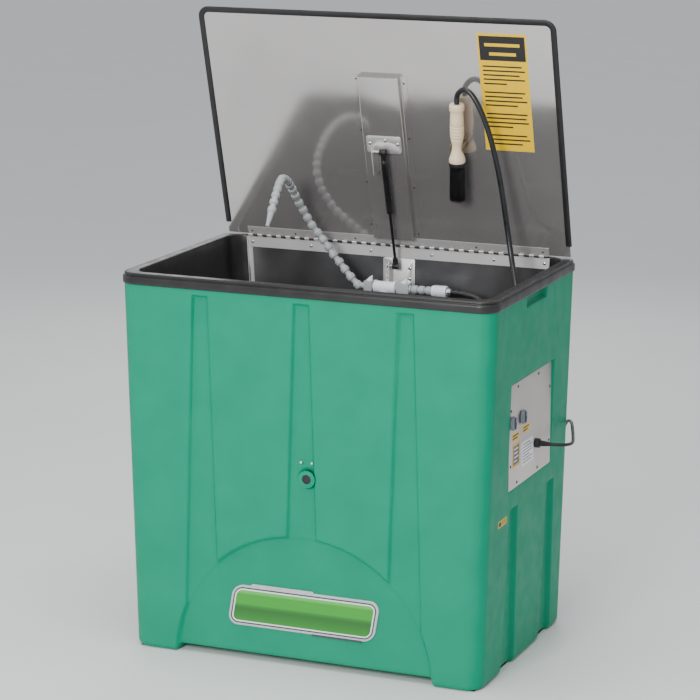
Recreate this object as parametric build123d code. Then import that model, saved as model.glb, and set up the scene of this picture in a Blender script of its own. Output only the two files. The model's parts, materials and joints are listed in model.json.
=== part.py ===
from build123d import *

import os
from math import atan2, cos, degrees, hypot, radians, sin, sqrt, tan

# Heated parts washer: hollow moulded cabinet, drop-in sink, hinged lid on a gas strut,
# flow-through brush and flexible spout.  Millimetres, +Z up, +X right, -Y towards the user,
# origin on the floor under the centre of the cabinet.

# ---------------------------------------------------------------- driving dimensions
TANK_W, TANK_D = 1067.0, 688.0      # cabinet at its top edge, and the sink's rim
RIM_TOP, SHELL_TOP = 1047.0, 1018.0
SIDE_DRAFT = 27.0                   # each side leans in by this much at the floor
CORNER_R = 45.0
WALL = 8.0                          # rotation-moulded wall
FLOOR_GAP = 20.0                    # height of the channel between the two runners
RUNNER_X = 372.0                    # inner edge of each runner
FLUTE_X, FLUTE_TOP = 294.0, 1002.0
FLUTE_HALF_TOP, FLUTE_HALF_LOW = 24.0, 53.0
FLUTE_DEPTH, ARCH_DEPTH = 11.0, 14.0
ARCH_R, ARCH_Z = 376.0, -8.0
GROOVES = ((-120.0, 33.0, 54.0), (185.0, 29.0, 50.0))   # centre y, half width at top, at floor
GROOVE_TOP, GROOVE_DEPTH = 450.0, 12.0
PANEL_X = 520.5                     # outer face of the control panel plate
PANEL_HALF_Y, PANEL_Z0, PANEL_Z1 = 170.0, 505.0, 790.0
PANEL_T = 1.5
BUTTON = (15.0, 529.0)              # x, z on the front wall
NOTCH_HALF_Y, NOTCH_H, NOTCH_DEEP = 78.0, 30.0, 14.0
BACK_FLUTE_TOP = 740.0

RIM_SIDE, RIM_FRONT, RIM_REAR = 30.0, 30.0, 17.5
SINK_FLOOR = 765.0
SINK_T = 5.0
SINK_TAPER = 16.0
DRAIN = (230.0, 40.0)
DRAIN_R = 36.0

HINGE_Y, HINGE_Z = 321.5, 1048.0
HINGE_HALF = 458.0
KNUCKLE_R, PIN_R, PIN_GAP = 3.2, 1.5, 0.06
KNUCKLES = 62
LEAF_T = 1.5
LID_TILT = 15.6                     # degrees forward of upright when open
LID_CLOSE = 90.0 - LID_TILT
LID_HALF, LID_LEN, LID_T = 520.0, 690.0, 1.2
LID_BACK = -KNUCKLE_R               # underside of the lid sheet, measured off the hinge axis
TRIM_OVER, TRIM_IN, TRIM_T = 5.0, 12.0, 7.0
CHANNEL_X, CHANNEL_HALF, CHANNEL_DEEP, FLANGE = 4.0, 61.0, 20.0, 18.0
CHANNEL_V0, CHANNEL_V1 = 22.0, 514.0

STRUT_X = 11.0
LOWER_BALL = (300.0, 992.0)         # y, z
UPPER_BALL = (305.0, 44.0)          # up the lid, out from the lid
SOCKET_R, STUD_R = 8.5, 4.0
BODY_R, ROD_R = 9.0, 4.0
STRUT_BODY_LEN, SOCKET_LEN = 165.0, 24.0

MANIFOLD_Y, MANIFOLD_Z = 243.0, 941.0
RISER_X = 2.0
HOSE_R = 7.5
CORD_R = 4.5
CABLE_COIL = (290.0, 425.0)
LINK_R = 12.2

# ---------------------------------------------------------------- helpers


def box(x0, x1, y0, y1, z0, z1):
    """Axis-aligned block between two corners."""
    return Pos((x0 + x1) / 2, (y0 + y1) / 2, (z0 + z1) / 2) * Box(x1 - x0, y1 - y0, z1 - z0)


def rod(start, end, radius):
    """Round bar between two points."""
    along = Vector(*end) - Vector(*start)
    return Plane(origin=start, z_dir=along) * Pos(0, 0, along.length / 2) * Cylinder(radius, along.length)


def cone(start, end, r0, r1):
    """Tapered round bar between two points."""
    along = Vector(*end) - Vector(*start)
    return Plane(origin=start, z_dir=along) * Pos(0, 0, along.length / 2) * Cone(r0, r1, along.length)


def ball(centre, radius):
    """Ball about a point."""
    return Pos(*centre) * Sphere(radius)


def slab(x0, x1, y0, y1, radius, z0, z1):
    """Block with rounded upright corners."""
    face = Pos((x0 + x1) / 2, (y0 + y1) / 2, z0) * RectangleRounded(x1 - x0, y1 - y0, radius)
    return extrude(face, z1 - z0)


def drafted(low, high, z0, z1):
    """Tapered block; low and high are (x0, x1, y0, y1, radius)."""
    sections = []
    for (x0, x1, y0, y1, radius), z in ((low, z0), (high, z1)):
        sections.append(Pos((x0 + x1) / 2, (y0 + y1) / 2, z) * RectangleRounded(x1 - x0, y1 - y0, radius))
    return loft(sections, ruled=True)


def group(pieces):
    """Several separate solids in one node."""
    return Compound(children=list(pieces))


def along(centre, axis, depth):
    """Start and end of a bar of the given depth centred on a point."""
    return (tuple(c - a * depth / 2 for c, a in zip(centre, axis)),
            tuple(c + a * depth / 2 for c, a in zip(centre, axis)))


def drilled(shape, centres, axis, radius, depth=30.0):
    """Shape with a round hole through it at each centre."""
    for centre in centres:
        shape -= rod(*along(centre, axis, depth), radius)
    return shape


def screws(centres, out, head_r, head_h, shank_r, shank_len):
    """Pan-head screws; each centre lies under the head, out is the way the head faces."""
    made = []
    for c in centres:
        top = tuple(a + b * head_h for a, b in zip(c, out))
        tip = tuple(a - b * shank_len for a, b in zip(c, out))
        made.append(cone(c, top, head_r, head_r * 0.7) + rod(c, tip, shank_r))
    return group(made)


def corner_radii(points):
    """Largest easy arc at each inner point of a route, 0.45 of the shorter run."""
    radii = []
    for a, b, c in zip(points, points[1:], points[2:]):
        before, after = Vector(*b) - Vector(*a), Vector(*c) - Vector(*b)
        half_turn = radians(before.get_angle(after)) / 2
        radii.append(0.45 * min(before.length, after.length) / tan(half_turn))
    return radii


def tube(name, points, radius):
    """Round tube along straight runs joined by tangent arcs."""
    radii = corner_radii(points)
    path = FilletPolyline(*points, radius=radii)
    solid = sweep(Plane(origin=path @ 0, z_dir=path % 0) * Circle(radius), path=path)
    expected = 3.14159265 * radius ** 2 * path.length
    print(name, "length", round(path.length, 1), "volume ratio", round(solid.volume / expected, 4),
          "radii", [round(r) for r in radii])
    return solid


def on_lid(x, up, out):
    """World point of a place on the open lid: x, up the lid, out towards the user."""
    s, c = sin(radians(LID_TILT)), cos(radians(LID_TILT))
    return (x, HINGE_Y - s * up - c * out, HINGE_Z + c * up - s * out)


LID_OUT = (0.0, -cos(radians(LID_TILT)), -sin(radians(LID_TILT)))
LID_PLANE = Plane(origin=(0, HINGE_Y, HINGE_Z), x_dir=(1, 0, 0), z_dir=LID_OUT)


def mirrored_x(shape):
    """The same shape on the other side of the cabinet."""
    return mirror(shape, about=Plane.YZ)


# ---------------------------------------------------------------- cabinet


FRONT_PLANE = Plane(origin=(0, -TANK_D / 2, 0), x_dir=(-1, 0, 0), z_dir=(0, 1, 0))
BACK_PLANE = Plane(origin=(0, TANK_D / 2, 0), x_dir=(1, 0, 0), z_dir=(0, -1, 0))
DRAFT_ANGLE = atan2(SIDE_DRAFT, SHELL_TOP)
SIDE_PLANE = Plane(origin=(TANK_W / 2 - SIDE_DRAFT, 0, 0), x_dir=(0, -1, 0),
                   z_dir=(-cos(DRAFT_ANGLE), 0, sin(DRAFT_ANGLE)))
RECESS_SLOPE = 38.0


def flute(centre, half_top, half_low, top, low, extra):
    """Outline of one tapered flute, grown by extra all round."""
    return make_face(Polyline((centre - half_top - extra, top + extra), (centre + half_top + extra, top + extra),
                              (centre + half_low + extra, low), (centre - half_low - extra, low), close=True))


def sunk_flute(plane, shape, low, depth, extra):
    """Cutter for one flute with sloping sides; shape is (centre, half top, half low, top)."""
    centre, half_top, half_low, top = shape
    inset = (depth + extra) * tan(radians(RECESS_SLOPE))
    outer = flute(centre, half_top, half_low, top, low, extra)
    inner = flute(centre, half_top, half_low, top, low, extra - inset)
    return loft([plane * outer, plane.offset(depth + extra) * inner], ruled=True)


def recesses(extra):
    """Everything that is sunk into the cabinet's walls; extra grows it by a wall thickness."""
    cut = []
    for x in (-FLUTE_X, 0.0, FLUTE_X):
        shape = (x, FLUTE_HALF_TOP, FLUTE_HALF_LOW, FLUTE_TOP)
        cut.append(sunk_flute(FRONT_PLANE, shape, 100.0, FLUTE_DEPTH, extra))
    for x in (-FLUTE_X, FLUTE_X):
        shape = (x, FLUTE_HALF_TOP, FLUTE_HALF_LOW, BACK_FLUTE_TOP)
        cut.append(sunk_flute(BACK_PLANE, shape, -30.0, FLUTE_DEPTH, extra))
    arch = Pos(0, ARCH_Z) * Circle(ARCH_R + extra) & Pos(0, 190) * Rectangle(900, 480)
    cut.append(extrude(FRONT_PLANE * arch, ARCH_DEPTH + extra, taper=RECESS_SLOPE))
    for y, half_top, half_low in GROOVES:
        shape = (-y, half_top, half_low, GROOVE_TOP)
        groove = sunk_flute(SIDE_PLANE, shape, -30.0, GROOVE_DEPTH, extra)
        cut += [groove, mirrored_x(groove)]
    margin = 6.0 + extra
    pocket_floor = PANEL_X - PANEL_T - extra
    cut.append(slab_x(pocket_floor, TANK_W / 2 + 5, PANEL_HALF_Y + margin,
                      PANEL_Z0 - margin, PANEL_Z1 + margin, 10.0))
    notch = box(TANK_W / 2 - NOTCH_DEEP - extra, TANK_W / 2 + 5, -NOTCH_HALF_Y - extra,
                NOTCH_HALF_Y + extra, SHELL_TOP - NOTCH_H - extra, SHELL_TOP + 5)
    cut += [notch, mirrored_x(notch)]
    return cut


def slab_x(x0, x1, half_y, z0, z1, radius):
    """Block lying along X with rounded corners in the YZ plane, centred on y = 0."""
    face = Plane(origin=(x0, 0, (z0 + z1) / 2), x_dir=(0, 1, 0), z_dir=(1, 0, 0)) * RectangleRounded(
        2 * half_y, z1 - z0, radius)
    return extrude(face, x1 - x0)


def cabinet_shell():
    half_w, half_d = TANK_W / 2, TANK_D / 2
    low, high = half_w - SIDE_DRAFT, half_w
    shell = drafted((-low, low, -half_d, half_d, CORNER_R), (-high, high, -half_d, half_d, CORNER_R), 0, SHELL_TOP)
    shell = fillet(shell.faces().sort_by(Axis.Z)[0].edges(), 16.0)
    shell -= box(-RUNNER_X, RUNNER_X, -half_d - 5, half_d + 5, -5, FLOOR_GAP)
    for cut in recesses(0.0):
        shell -= cut
    low, high = low - WALL, high - WALL
    inner_d, inner_r = half_d - WALL, CORNER_R - WALL
    floor_z = FLOOR_GAP + WALL
    hollow = drafted((-low, low, -inner_d, inner_d, inner_r), (-high, high, -inner_d, inner_d, inner_r),
                     floor_z, SHELL_TOP + 2)
    for keep in recesses(WALL):
        hollow -= keep
    shell -= hollow
    shell -= box(PANEL_X - 60, PANEL_X + 5, -130, 130, PANEL_Z0 + 35, PANEL_Z1 - 35)
    x, z = BUTTON
    shell -= rod((x, -half_d - 1, z), (x, -half_d + 5, z), 24.0)
    shell -= rod((x, -half_d - 1, z), (x, -half_d + 40, z), 15.0)
    shell = drilled(shell, button_screw_places(), (0, 1, 0), 2.6, 60)
    shell = drilled(shell, [(PANEL_X, y, KNOB_Z) for y in KNOB_Y], (1, 0, 0), 7.0, 60)
    return drilled(shell, panel_screw_places(), (1, 0, 0), 2.1, 60)


def button_screw_places():
    x, z = BUTTON
    return [(x - 15.5, -TANK_D / 2, z + 45.5), (x + 15.5, -TANK_D / 2, z + 45.5)]


def panel_screw_places():
    places = []
    for y in (-105.0, 62.0):
        places += [(PANEL_X, y, PANEL_Z1 - 12), (PANEL_X, y, PANEL_Z0 + 12)]
    for y in (-158.0, 158.0):
        places += [(PANEL_X, y, PANEL_Z1 - 68), (PANEL_X, y, PANEL_Z0 + 66)]
    return places


# ---------------------------------------------------------------- sink


OPEN_X = TANK_W / 2 - RIM_SIDE
OPEN_Y0, OPEN_Y1 = -TANK_D / 2 + RIM_FRONT, TANK_D / 2 - RIM_REAR


def sink_basin():
    half_w, half_d = TANK_W / 2, TANK_D / 2
    skirt = slab(-half_w, half_w, -half_d, half_d, CORNER_R, SHELL_TOP, RIM_TOP - 7)
    skirt = fillet(skirt.faces().sort_by(Axis.Z)[-1].edges(), 6.5)
    bead = slab(-half_w + 3, half_w - 3, -half_d + 3, half_d - 3, CORNER_R - 3, RIM_TOP - 9, RIM_TOP)
    bead = fillet(bead.faces().sort_by(Axis.Z)[-1].edges(), 6.0)
    t, taper = SINK_T, SINK_TAPER
    outer = drafted((-OPEN_X - t + taper, OPEN_X + t - taper, OPEN_Y0 - t + taper, OPEN_Y1 + t, 50),
                    (-OPEN_X - t, OPEN_X + t, OPEN_Y0 - t, OPEN_Y1 + t, 50), SINK_FLOOR - t, SHELL_TOP)
    inner = drafted((-OPEN_X + taper, OPEN_X - taper, OPEN_Y0 + taper, OPEN_Y1, 45),
                    (-OPEN_X, OPEN_X, OPEN_Y0, OPEN_Y1, 45), SINK_FLOOR, RIM_TOP + 1)
    basin = skirt + bead + outer - inner
    basin -= rod((*DRAIN, SINK_FLOOR - 20), (*DRAIN, SINK_FLOOR + 5), DRAIN_R)
    basin -= rod((RISER_X, MANIFOLD_Y, SINK_FLOOR - 20), (RISER_X, MANIFOLD_Y, SINK_FLOOR + 5), 11.0)
    basin = drilled(basin, hinge_screw_places(), (0, 1, 0), 2.1)
    return drilled(basin, tank_bracket_screw_places(), (0, 1, 0), 2.6)


PANEL_FACE_Y = OPEN_Y1 - 1.5


def sink_back_panel():
    top, low = 461.0, 446.0
    z_top, z_low = 1043.0, 800.0
    plane = Plane(origin=(0, PANEL_FACE_Y, 0), x_dir=(-1, 0, 0), z_dir=(0, 1, 0))
    sheet = extrude(plane * make_face(Polyline((-top, z_top), (top, z_top), (low, z_low), (-low, z_low), close=True)), 1.2)
    lips = []
    for side in (-1, 1):
        lip = make_face(Polyline((side * top, z_top), (side * (top - 1.2), z_top),
                                 (side * (low - 1.2), z_low), (side * low, z_low), close=True))
        lips.append(extrude(plane * lip, -9.0))
    panel = sheet + lips[0] + lips[1]
    panel = drilled(panel, hinge_screw_places(), (0, 1, 0), 2.1)
    return drilled(panel, tank_bracket_screw_places(), (0, 1, 0), 2.6)


def drain_strainer():
    x, y = DRAIN
    flange = rod((x, y, SINK_FLOOR), (x, y, SINK_FLOOR + 2.5), 44.0)
    cup = rod((x, y, SINK_FLOOR - 30), (x, y, SINK_FLOOR + 2.5), DRAIN_R - 1.0)
    hollow = rod((x, y, SINK_FLOOR - 27), (x, y, SINK_FLOOR + 5), DRAIN_R - 4.0)
    strainer = flange + cup - hollow
    for ring, count in ((0, 1), (11.0, 6), (22.0, 12)):
        for k in range(count):
            turn = radians(360.0 * k / count)
            px, py = x + ring * cos(turn), y + ring * sin(turn)
            strainer -= rod((px, py, SINK_FLOOR - 35), (px, py, SINK_FLOOR - 20), 3.0)
    return strainer


def parts_grid():
    """Lift-out false floor of crossed bars on four feet."""
    x1, y0, y1, top = 470.0, -285.0, 300.0, 786.0
    grid = box(-x1, x1, y0, y0 + 6, top - 9, top) + box(-x1, x1, y1 - 6, y1, top - 9, top)
    grid += box(-x1, -x1 + 6, y0, y1, top - 9, top) + box(x1 - 6, x1, y0, y1, top - 9, top)
    grid += box(-x1, x1, y0 + 195, y0 + 201, top - 9, top) + box(-x1, x1, y1 - 201, y1 - 195, top - 9, top)
    count = 31
    for k in range(1, count):
        x = -x1 + 2 * x1 * k / count
        grid += box(x - 2, x + 2, y0 + 3, y1 - 3, top - 5, top)
    for x in (-440.0, 440.0):
        for y in (y0 + 10, y1 - 10):
            grid += rod((x, y, SINK_FLOOR), (x, y, top - 2), 8.0)
    return grid - rod((RISER_X, MANIFOLD_Y, top - 20), (RISER_X, MANIFOLD_Y, top + 5), 26.0)


# ---------------------------------------------------------------- hinge


LEAF_Y0 = HINGE_Y + KNUCKLE_R - LEAF_T


def hinge_screw_places():
    return [(x, LEAF_Y0, HINGE_Z - 21) for x in (-445.0, -260.0, -75.0, 110.0, 295.0, 444.0)]


def knuckles(first):
    """Every other knuckle of the piano hinge along X, as tubes about the pin."""
    pitch = 2 * HINGE_HALF / KNUCKLES
    made = []
    for k in range(first, KNUCKLES, 2):
        x0 = -HINGE_HALF + k * pitch + 0.35
        x1 = x0 + pitch - 0.7
        made.append((x0, x1))
    return made


def leaf(first, plate):
    shape = plate
    for x0, x1 in knuckles(first):
        shape += rod((x0, 0, 0), (x1, 0, 0), KNUCKLE_R)
    for x0, x1 in knuckles(1 - first):
        shape -= rod((x0 - 0.7, 0, 0), (x1 + 0.7, 0, 0), KNUCKLE_R + 0.6)
    return shape - rod((-HINGE_HALF - 5, 0, 0), (HINGE_HALF + 5, 0, 0), PIN_R + PIN_GAP)


def hinge_lower_leaf():
    plate = box(-HINGE_HALF, HINGE_HALF, KNUCKLE_R - LEAF_T, KNUCKLE_R, -36, 0)
    lower = Pos(0, HINGE_Y, HINGE_Z) * leaf(0, plate)
    return drilled(lower, hinge_screw_places(), (0, 1, 0), 2.1)


def hinge_upper_leaf():
    plate = box(-HINGE_HALF, HINGE_HALF, 0, 24, -KNUCKLE_R, -KNUCKLE_R + LEAF_T)
    return LID_PLANE * leaf(1, plate)


def hinge_pin():
    start, end = (-HINGE_HALF - 2, HINGE_Y, HINGE_Z), (HINGE_HALF + 2, HINGE_Y, HINGE_Z)
    return rod(start, end, PIN_R)


def hinge_lower_screws():
    return screws(hinge_screw_places(), (0, -1, 0), 5.0, 2.2, 2.0, 9.0)


# ---------------------------------------------------------------- lid


def rounded_lid(grow, thick, level):
    """Lid-shaped slab in the lid plane, with its outer face at a level."""
    half, length = LID_HALF + grow, LID_LEN + grow
    body = extrude(Pos(0, (length + 2) / 2, level) * Rectangle(2 * half, length - 2), thick)
    upright = body.edges().filter_by(Axis.Z).sort_by(Axis.Y)
    body = fillet(upright[2:], 27.0 + grow)
    return fillet(body.edges().filter_by(Axis.Z).sort_by(Axis.Y)[:2], 34.0)


def lid_panel():
    return LID_PLANE * rounded_lid(0.0, LID_T, LID_BACK - LID_T)


def lid_edge_trim():
    level = LID_BACK - LID_T / 2 - TRIM_T / 2
    ring = rounded_lid(TRIM_OVER, TRIM_T, level) - rounded_lid(TRIM_OVER - TRIM_IN, TRIM_T, level)
    ring = ring - rounded_lid(0.0, LID_T, LID_BACK - LID_T)
    return LID_PLANE * (ring & box(-600, 600, 35, 800, -30, 30))


def lid_channel():
    face_out, t = LID_BACK + CHANNEL_DEEP, LID_T
    x0, x1 = CHANNEL_X - CHANNEL_HALF, CHANNEL_X + CHANNEL_HALF
    v0, v1 = CHANNEL_V0 + 4, CHANNEL_V1
    hat = box(x0, x1, v0, v1, face_out - t, face_out)
    hat += box(x0, x0 + t, v0, v1, LID_BACK, face_out) + box(x1 - t, x1, v0, v1, LID_BACK, face_out)
    hat += box(x0 - FLANGE, x0 + t, v0, v1, LID_BACK, LID_BACK + t)
    hat += box(x1 - t, x1 + FLANGE, v0, v1, LID_BACK, LID_BACK + t)
    hat = LID_PLANE * hat
    return drilled(hat, lid_bracket_bolt_places(), LID_OUT, 3.1)


CHANNEL_FACE = LID_BACK + CHANNEL_DEEP
BRACKET_T = 2.5


def lid_bracket_bolt_places():
    face = CHANNEL_FACE + BRACKET_T
    return [on_lid(x, 319.0, face) for x in (CHANNEL_X - 40, CHANNEL_X + 42)] + [on_lid(CHANNEL_X + 6, 329.0, face)]


EAR_X = -20.0


def lid_strut_bracket():
    up, out = UPPER_BALL
    base = CHANNEL_FACE
    plate = box(CHANNEL_X - 50, CHANNEL_X + 52, 291, 341, base, base + BRACKET_T)
    plate = fillet(plate.edges().filter_by(Axis.Z), 6.0)
    ear = box(EAR_X, EAR_X + 2.5, 235, up + 12, base, out + 11)
    ear = fillet(ear.edges().filter_by(Axis.X), 5.0)
    bracket = LID_PLANE * (plate + ear)
    return drilled(bracket, lid_bracket_bolt_places(), LID_OUT, 3.1)


def lid_bracket_bolts():
    return screws(lid_bracket_bolt_places(), LID_OUT, 6.0, 4.0, 3.0, 8.0)


def upper_ball_stud():
    up, out = UPPER_BALL
    start = on_lid(EAR_X + 2.5, up, out)
    end = on_lid(STRUT_X - SOCKET_R - 0.4, up, out)
    nut = rod(start, on_lid(EAR_X + 7.5, up, out), 7.0)
    return nut + rod(start, end, STUD_R)


def brush_clip():
    """Spring clip on the lid: base plate and two jaws either side of the handle's waist."""
    x, up, out = BRUSH_WAIST
    clip = box(x - 16, x + 16, up - 9, up + 9, LID_BACK, LID_BACK + 2)
    for side in (-1, 1):
        x0, x1 = sorted((x + side * 15.5, x + side * 17.5))
        clip += box(x0, x1, up - 9, up + 9, LID_BACK, out + 6)
    return LID_PLANE * clip


def lid_label():
    return LID_PLANE * box(298, 438, 311, 651, LID_BACK, LID_BACK + 0.4)


# ---------------------------------------------------------------- gas strut


LOWER_POINT = (STRUT_X, *LOWER_BALL)
UPPER_POINT = on_lid(STRUT_X, *UPPER_BALL)
STRUT_DIR = (Vector(*UPPER_POINT) - Vector(*LOWER_POINT)).normalized()


def up_strut(distance):
    """Point on the strut's centre line, measured from the lower pivot."""
    p = Vector(*LOWER_POINT) + STRUT_DIR * distance
    return (p.X, p.Y, p.Z)


STRUT_LEN = (Vector(*UPPER_POINT) - Vector(*LOWER_POINT)).length
BODY_START = STRUT_LEN - SOCKET_LEN - STRUT_BODY_LEN


def socket_block(centre, toward):
    """Moulded end socket: a flat-sided eye with a round neck."""
    eye = rod((STRUT_X - SOCKET_R, *centre[1:]), (STRUT_X + SOCKET_R, *centre[1:]), 9.5)
    return eye + rod(centre, toward, 7.5)


def strut_lower_socket():
    socket = socket_block(LOWER_POINT, up_strut(SOCKET_LEN))
    return socket - rod((STRUT_X - 20, *LOWER_BALL), (STRUT_X + 6, *LOWER_BALL), STUD_R + 0.05)


def strut_rod():
    return rod(up_strut(SOCKET_LEN), up_strut(BODY_START + 70), ROD_R)


def strut_upper_socket():
    return socket_block(UPPER_POINT, up_strut(STRUT_LEN - SOCKET_LEN))


def strut_cylinder():
    body = rod(up_strut(BODY_START), up_strut(STRUT_LEN - SOCKET_LEN), BODY_R)
    return body - rod(up_strut(BODY_START - 5), up_strut(BODY_START + 152), ROD_R + 0.05)


def tank_bracket_screw_places():
    face = PANEL_FACE_Y - BRACKET_T
    return [(x, face, z) for x in (-20.0, 44.0) for z in (953.0, 984.0)]


TANK_EAR_X = -9.0


def tank_strut_bracket():
    y, z = LOWER_BALL
    face = PANEL_FACE_Y
    plate = box(-37, 59, face - BRACKET_T, face, 905, 1011)
    plate = fillet(plate.edges().filter_by(Axis.Y), 6.0)
    ear = box(TANK_EAR_X, TANK_EAR_X + 2.5, y - 10, face - 1, 925, z + 11)
    bracket = plate + fillet(ear.edges().filter_by(Axis.X).sort_by(Axis.Y)[:2], 6.0)
    return drilled(bracket, tank_bracket_screw_places(), (0, 1, 0), 2.6)


def tank_bracket_screws():
    return screws(tank_bracket_screw_places(), (0, -1, 0), 5.0, 3.0, 2.5, 10.0)


def lower_ball_stud():
    y, z = LOWER_BALL
    nut = rod((TANK_EAR_X - 5.5, y, z), (TANK_EAR_X, y, z), 7.0)
    return nut + rod((TANK_EAR_X + 2.5, y, z), (STRUT_X + 5.5, y, z), STUD_R)


# ---------------------------------------------------------------- wash manifold


def manifold_tee():
    y, z = MANIFOLD_Y, MANIFOLD_Z
    tee = rod((-29.7, y, z), (35.4, y, z), 17.0)
    return tee + rod((RISER_X, y, z - 34), (RISER_X, y, z), 17.0)


def riser_pipe():
    y = MANIFOLD_Y
    pipe = rod((RISER_X, y, SINK_FLOOR - 45), (RISER_X, y, MANIFOLD_Z - 34), 10.7)
    collar = rod((RISER_X, y, SINK_FLOOR), (RISER_X, y, SINK_FLOOR + 8), 20.0)
    nut = rod((RISER_X, y, SINK_FLOOR - 5 - 10), (RISER_X, y, SINK_FLOOR - 5), 20.0)
    return pipe + collar + nut


def valve_body(x0, x1):
    """Small plug valve: boxy body on round ends, with a stem hole down from the top."""
    y, z, mid = MANIFOLD_Y, MANIFOLD_Z, (x0 + x1) / 2
    body = rod((x0, y, z), (x1, y, z), 11.0) + box(x0 + 5, x1 - 5, y - 14, y + 14, z - 16, z + 16)
    return body - rod((mid, y, z + 5), (mid, y, z + 20), 5.05)


SPOUT_VALVE = (-63.2, -29.7)
BRUSH_VALVE = (35.4, 80.9)


def spout_valve_body():
    """Left valve with the ball that the flexible spout turns on."""
    x, y, z = SPOUT_ROUTE[0]
    return valve_body(*SPOUT_VALVE) + ball((x, y, z), LINK_R) + rod((x, y, z), (SPOUT_VALVE[0] + 1, y, z), 8.0)


def brush_valve_body():
    return valve_body(*BRUSH_VALVE)


def valve_lever(x0, x1):
    """Stem with a wing on top."""
    y, z, mid = MANIFOLD_Y, MANIFOLD_Z, (x0 + x1) / 2
    wing = Plane(origin=(mid, y - 2.5, z + 16.4), x_dir=(1, 0, 0), z_dir=(0, 1, 0))
    fin = extrude(wing * make_face(Polyline((-9, 0), (9, 0), (9, -15), (2, -11), close=True)), 5.0)
    return rod((mid, y, z + 6), (mid, y, z + 17.5), 5.0) + fin


def spout_valve_lever():
    return valve_lever(*SPOUT_VALVE)


def brush_valve_lever():
    return valve_lever(*BRUSH_VALVE)


def link_balls():
    """Three rounded segments between the brush valve and the coupler."""
    y, z = MANIFOLD_Y, MANIFOLD_Z
    start, end, count = BRUSH_VALVE[1], 144.0, 3
    pitch = (end - start) / count
    shape = rod((start, y, z), (end, y, z), 8.0)
    for k in range(count):
        middle = start + pitch * (k + 0.5)
        bead = rod((middle - 9, y, z), (middle + 9, y, z), 12.0)
        shape += fillet(bead.edges().filter_by(GeomType.CIRCLE), 4.0)
    return shape


def hose_coupler():
    y, z = MANIFOLD_Y, MANIFOLD_Z
    nut = rod((144, y, z), (187, y, z), 15.5)
    return nut + rod((176, y, z), (187, y, z), 17.0)


def hose_barb():
    y, z = MANIFOLD_Y, MANIFOLD_Z
    return rod((187, y, z), (199, y, z), 9.0) + rod((190, y, z), (197, y, z), 11.0)


# ---------------------------------------------------------------- flexible spout


SPOUT_ROUTE = [
    (-81.0, 243.0, 941.0), (-102.0, 240.0, 963.0), (-120.0, 240.0, 983.0), (-137.0, 240.0, 1003.0),
    (-155.0, 240.0, 1022.0), (-171.0, 242.0, 1043.0), (-187.0, 241.0, 1063.0), (-203.0, 240.0, 1082.0),
    (-219.0, 235.0, 1103.0), (-231.0, 230.0, 1125.0), (-242.0, 225.0, 1147.0), (-250.0, 215.0, 1168.0),
    (-256.0, 203.0, 1190.0), (-258.0, 187.0, 1210.0), (-258.0, 168.0, 1226.0), (-255.0, 147.0, 1239.0),
    (-251.0, 124.0, 1248.0), (-246.0, 99.0, 1254.0), (-240.0, 74.0, 1257.0), (-233.0, 50.0, 1255.0),
    (-227.0, 27.0, 1250.0), (-222.0, 5.0, 1240.0), (-219.0, -14.0, 1226.0), (-217.0, -31.0, 1210.0),
    (-216.0, -46.0, 1192.0),
]
SPOUT_BEND, NOZZLE_BEND = 12, 20     # the places in the route where the spout's sections turn
NOZZLE_TIP = (-217.0, -75.0, 1150.0)


def chain(points, start_cup, end_ball):
    """Ball-and-socket hose section as one solid; a cup leaves clearance round a neighbour's ball."""
    shape = None
    for a, b in zip(points, points[1:]):
        piece = rod(a, b, 9.0)
        shape = piece if shape is None else shape + piece
    inner = points[1:] if start_cup else points
    for p in inner if end_ball else inner[:-1]:
        shape += ball(p, LINK_R)
    if start_cup:
        shape -= ball(points[0], LINK_R + 0.3)
    return shape


def spout_lower():
    return chain(SPOUT_ROUTE[:SPOUT_BEND + 1], True, True)


def spout_middle():
    return chain(SPOUT_ROUTE[SPOUT_BEND:NOZZLE_BEND + 1], True, True)


def spout_nozzle():
    points = SPOUT_ROUTE[NOZZLE_BEND:]
    shape = chain(points, True, True)
    return shape + cone(points[-1], NOZZLE_TIP, 9.0, 4.5)


# ---------------------------------------------------------------- flow-through brush


BRUSH_LOW = (220.5, 172.0, 48.0)     # x, up the lid, out from the lid
BRUSH_TOP = (237.0, 456.0, 30.0)
BRUSH_WAIST = (229.3, 331.0, 38.0)
BRUSH_TUFT_LEN = 116.0


def up_brush(distance):
    """Point on the brush's centre line, measured up from the tuft's tip."""
    low, top = Vector(*on_lid(*BRUSH_LOW)), Vector(*on_lid(*BRUSH_TOP))
    p = low + (top - low).normalized() * distance
    return (p.X, p.Y, p.Z)


HANDLE_STATIONS = ((0.0, 23.0), (12.0, 22.0), (34.0, 14.5), (52.0, 14.0), (74.0, 19.0), (104.0, 19.5),
                   (146.0, 17.5), (153.0, 20.5), (166.0, 20.5), (168.0, 19.0))


def brush_handle():
    shape = None
    for (d0, r0), (d1, r1) in zip(HANDLE_STATIONS, HANDLE_STATIONS[1:]):
        start, end = up_brush(BRUSH_TUFT_LEN + d0), up_brush(BRUSH_TUFT_LEN + d1)
        piece = rod(start, end, r0) if r0 == r1 else cone(start, end, r0, r1)
        shape = piece if shape is None else shape + piece
    return shape


def brush_head():
    return cone(up_brush(0), up_brush(14), 19.0, 22.0) + cone(up_brush(14), up_brush(BRUSH_TUFT_LEN), 22.0, 24.0)


# ---------------------------------------------------------------- hoses and power cord


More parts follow.
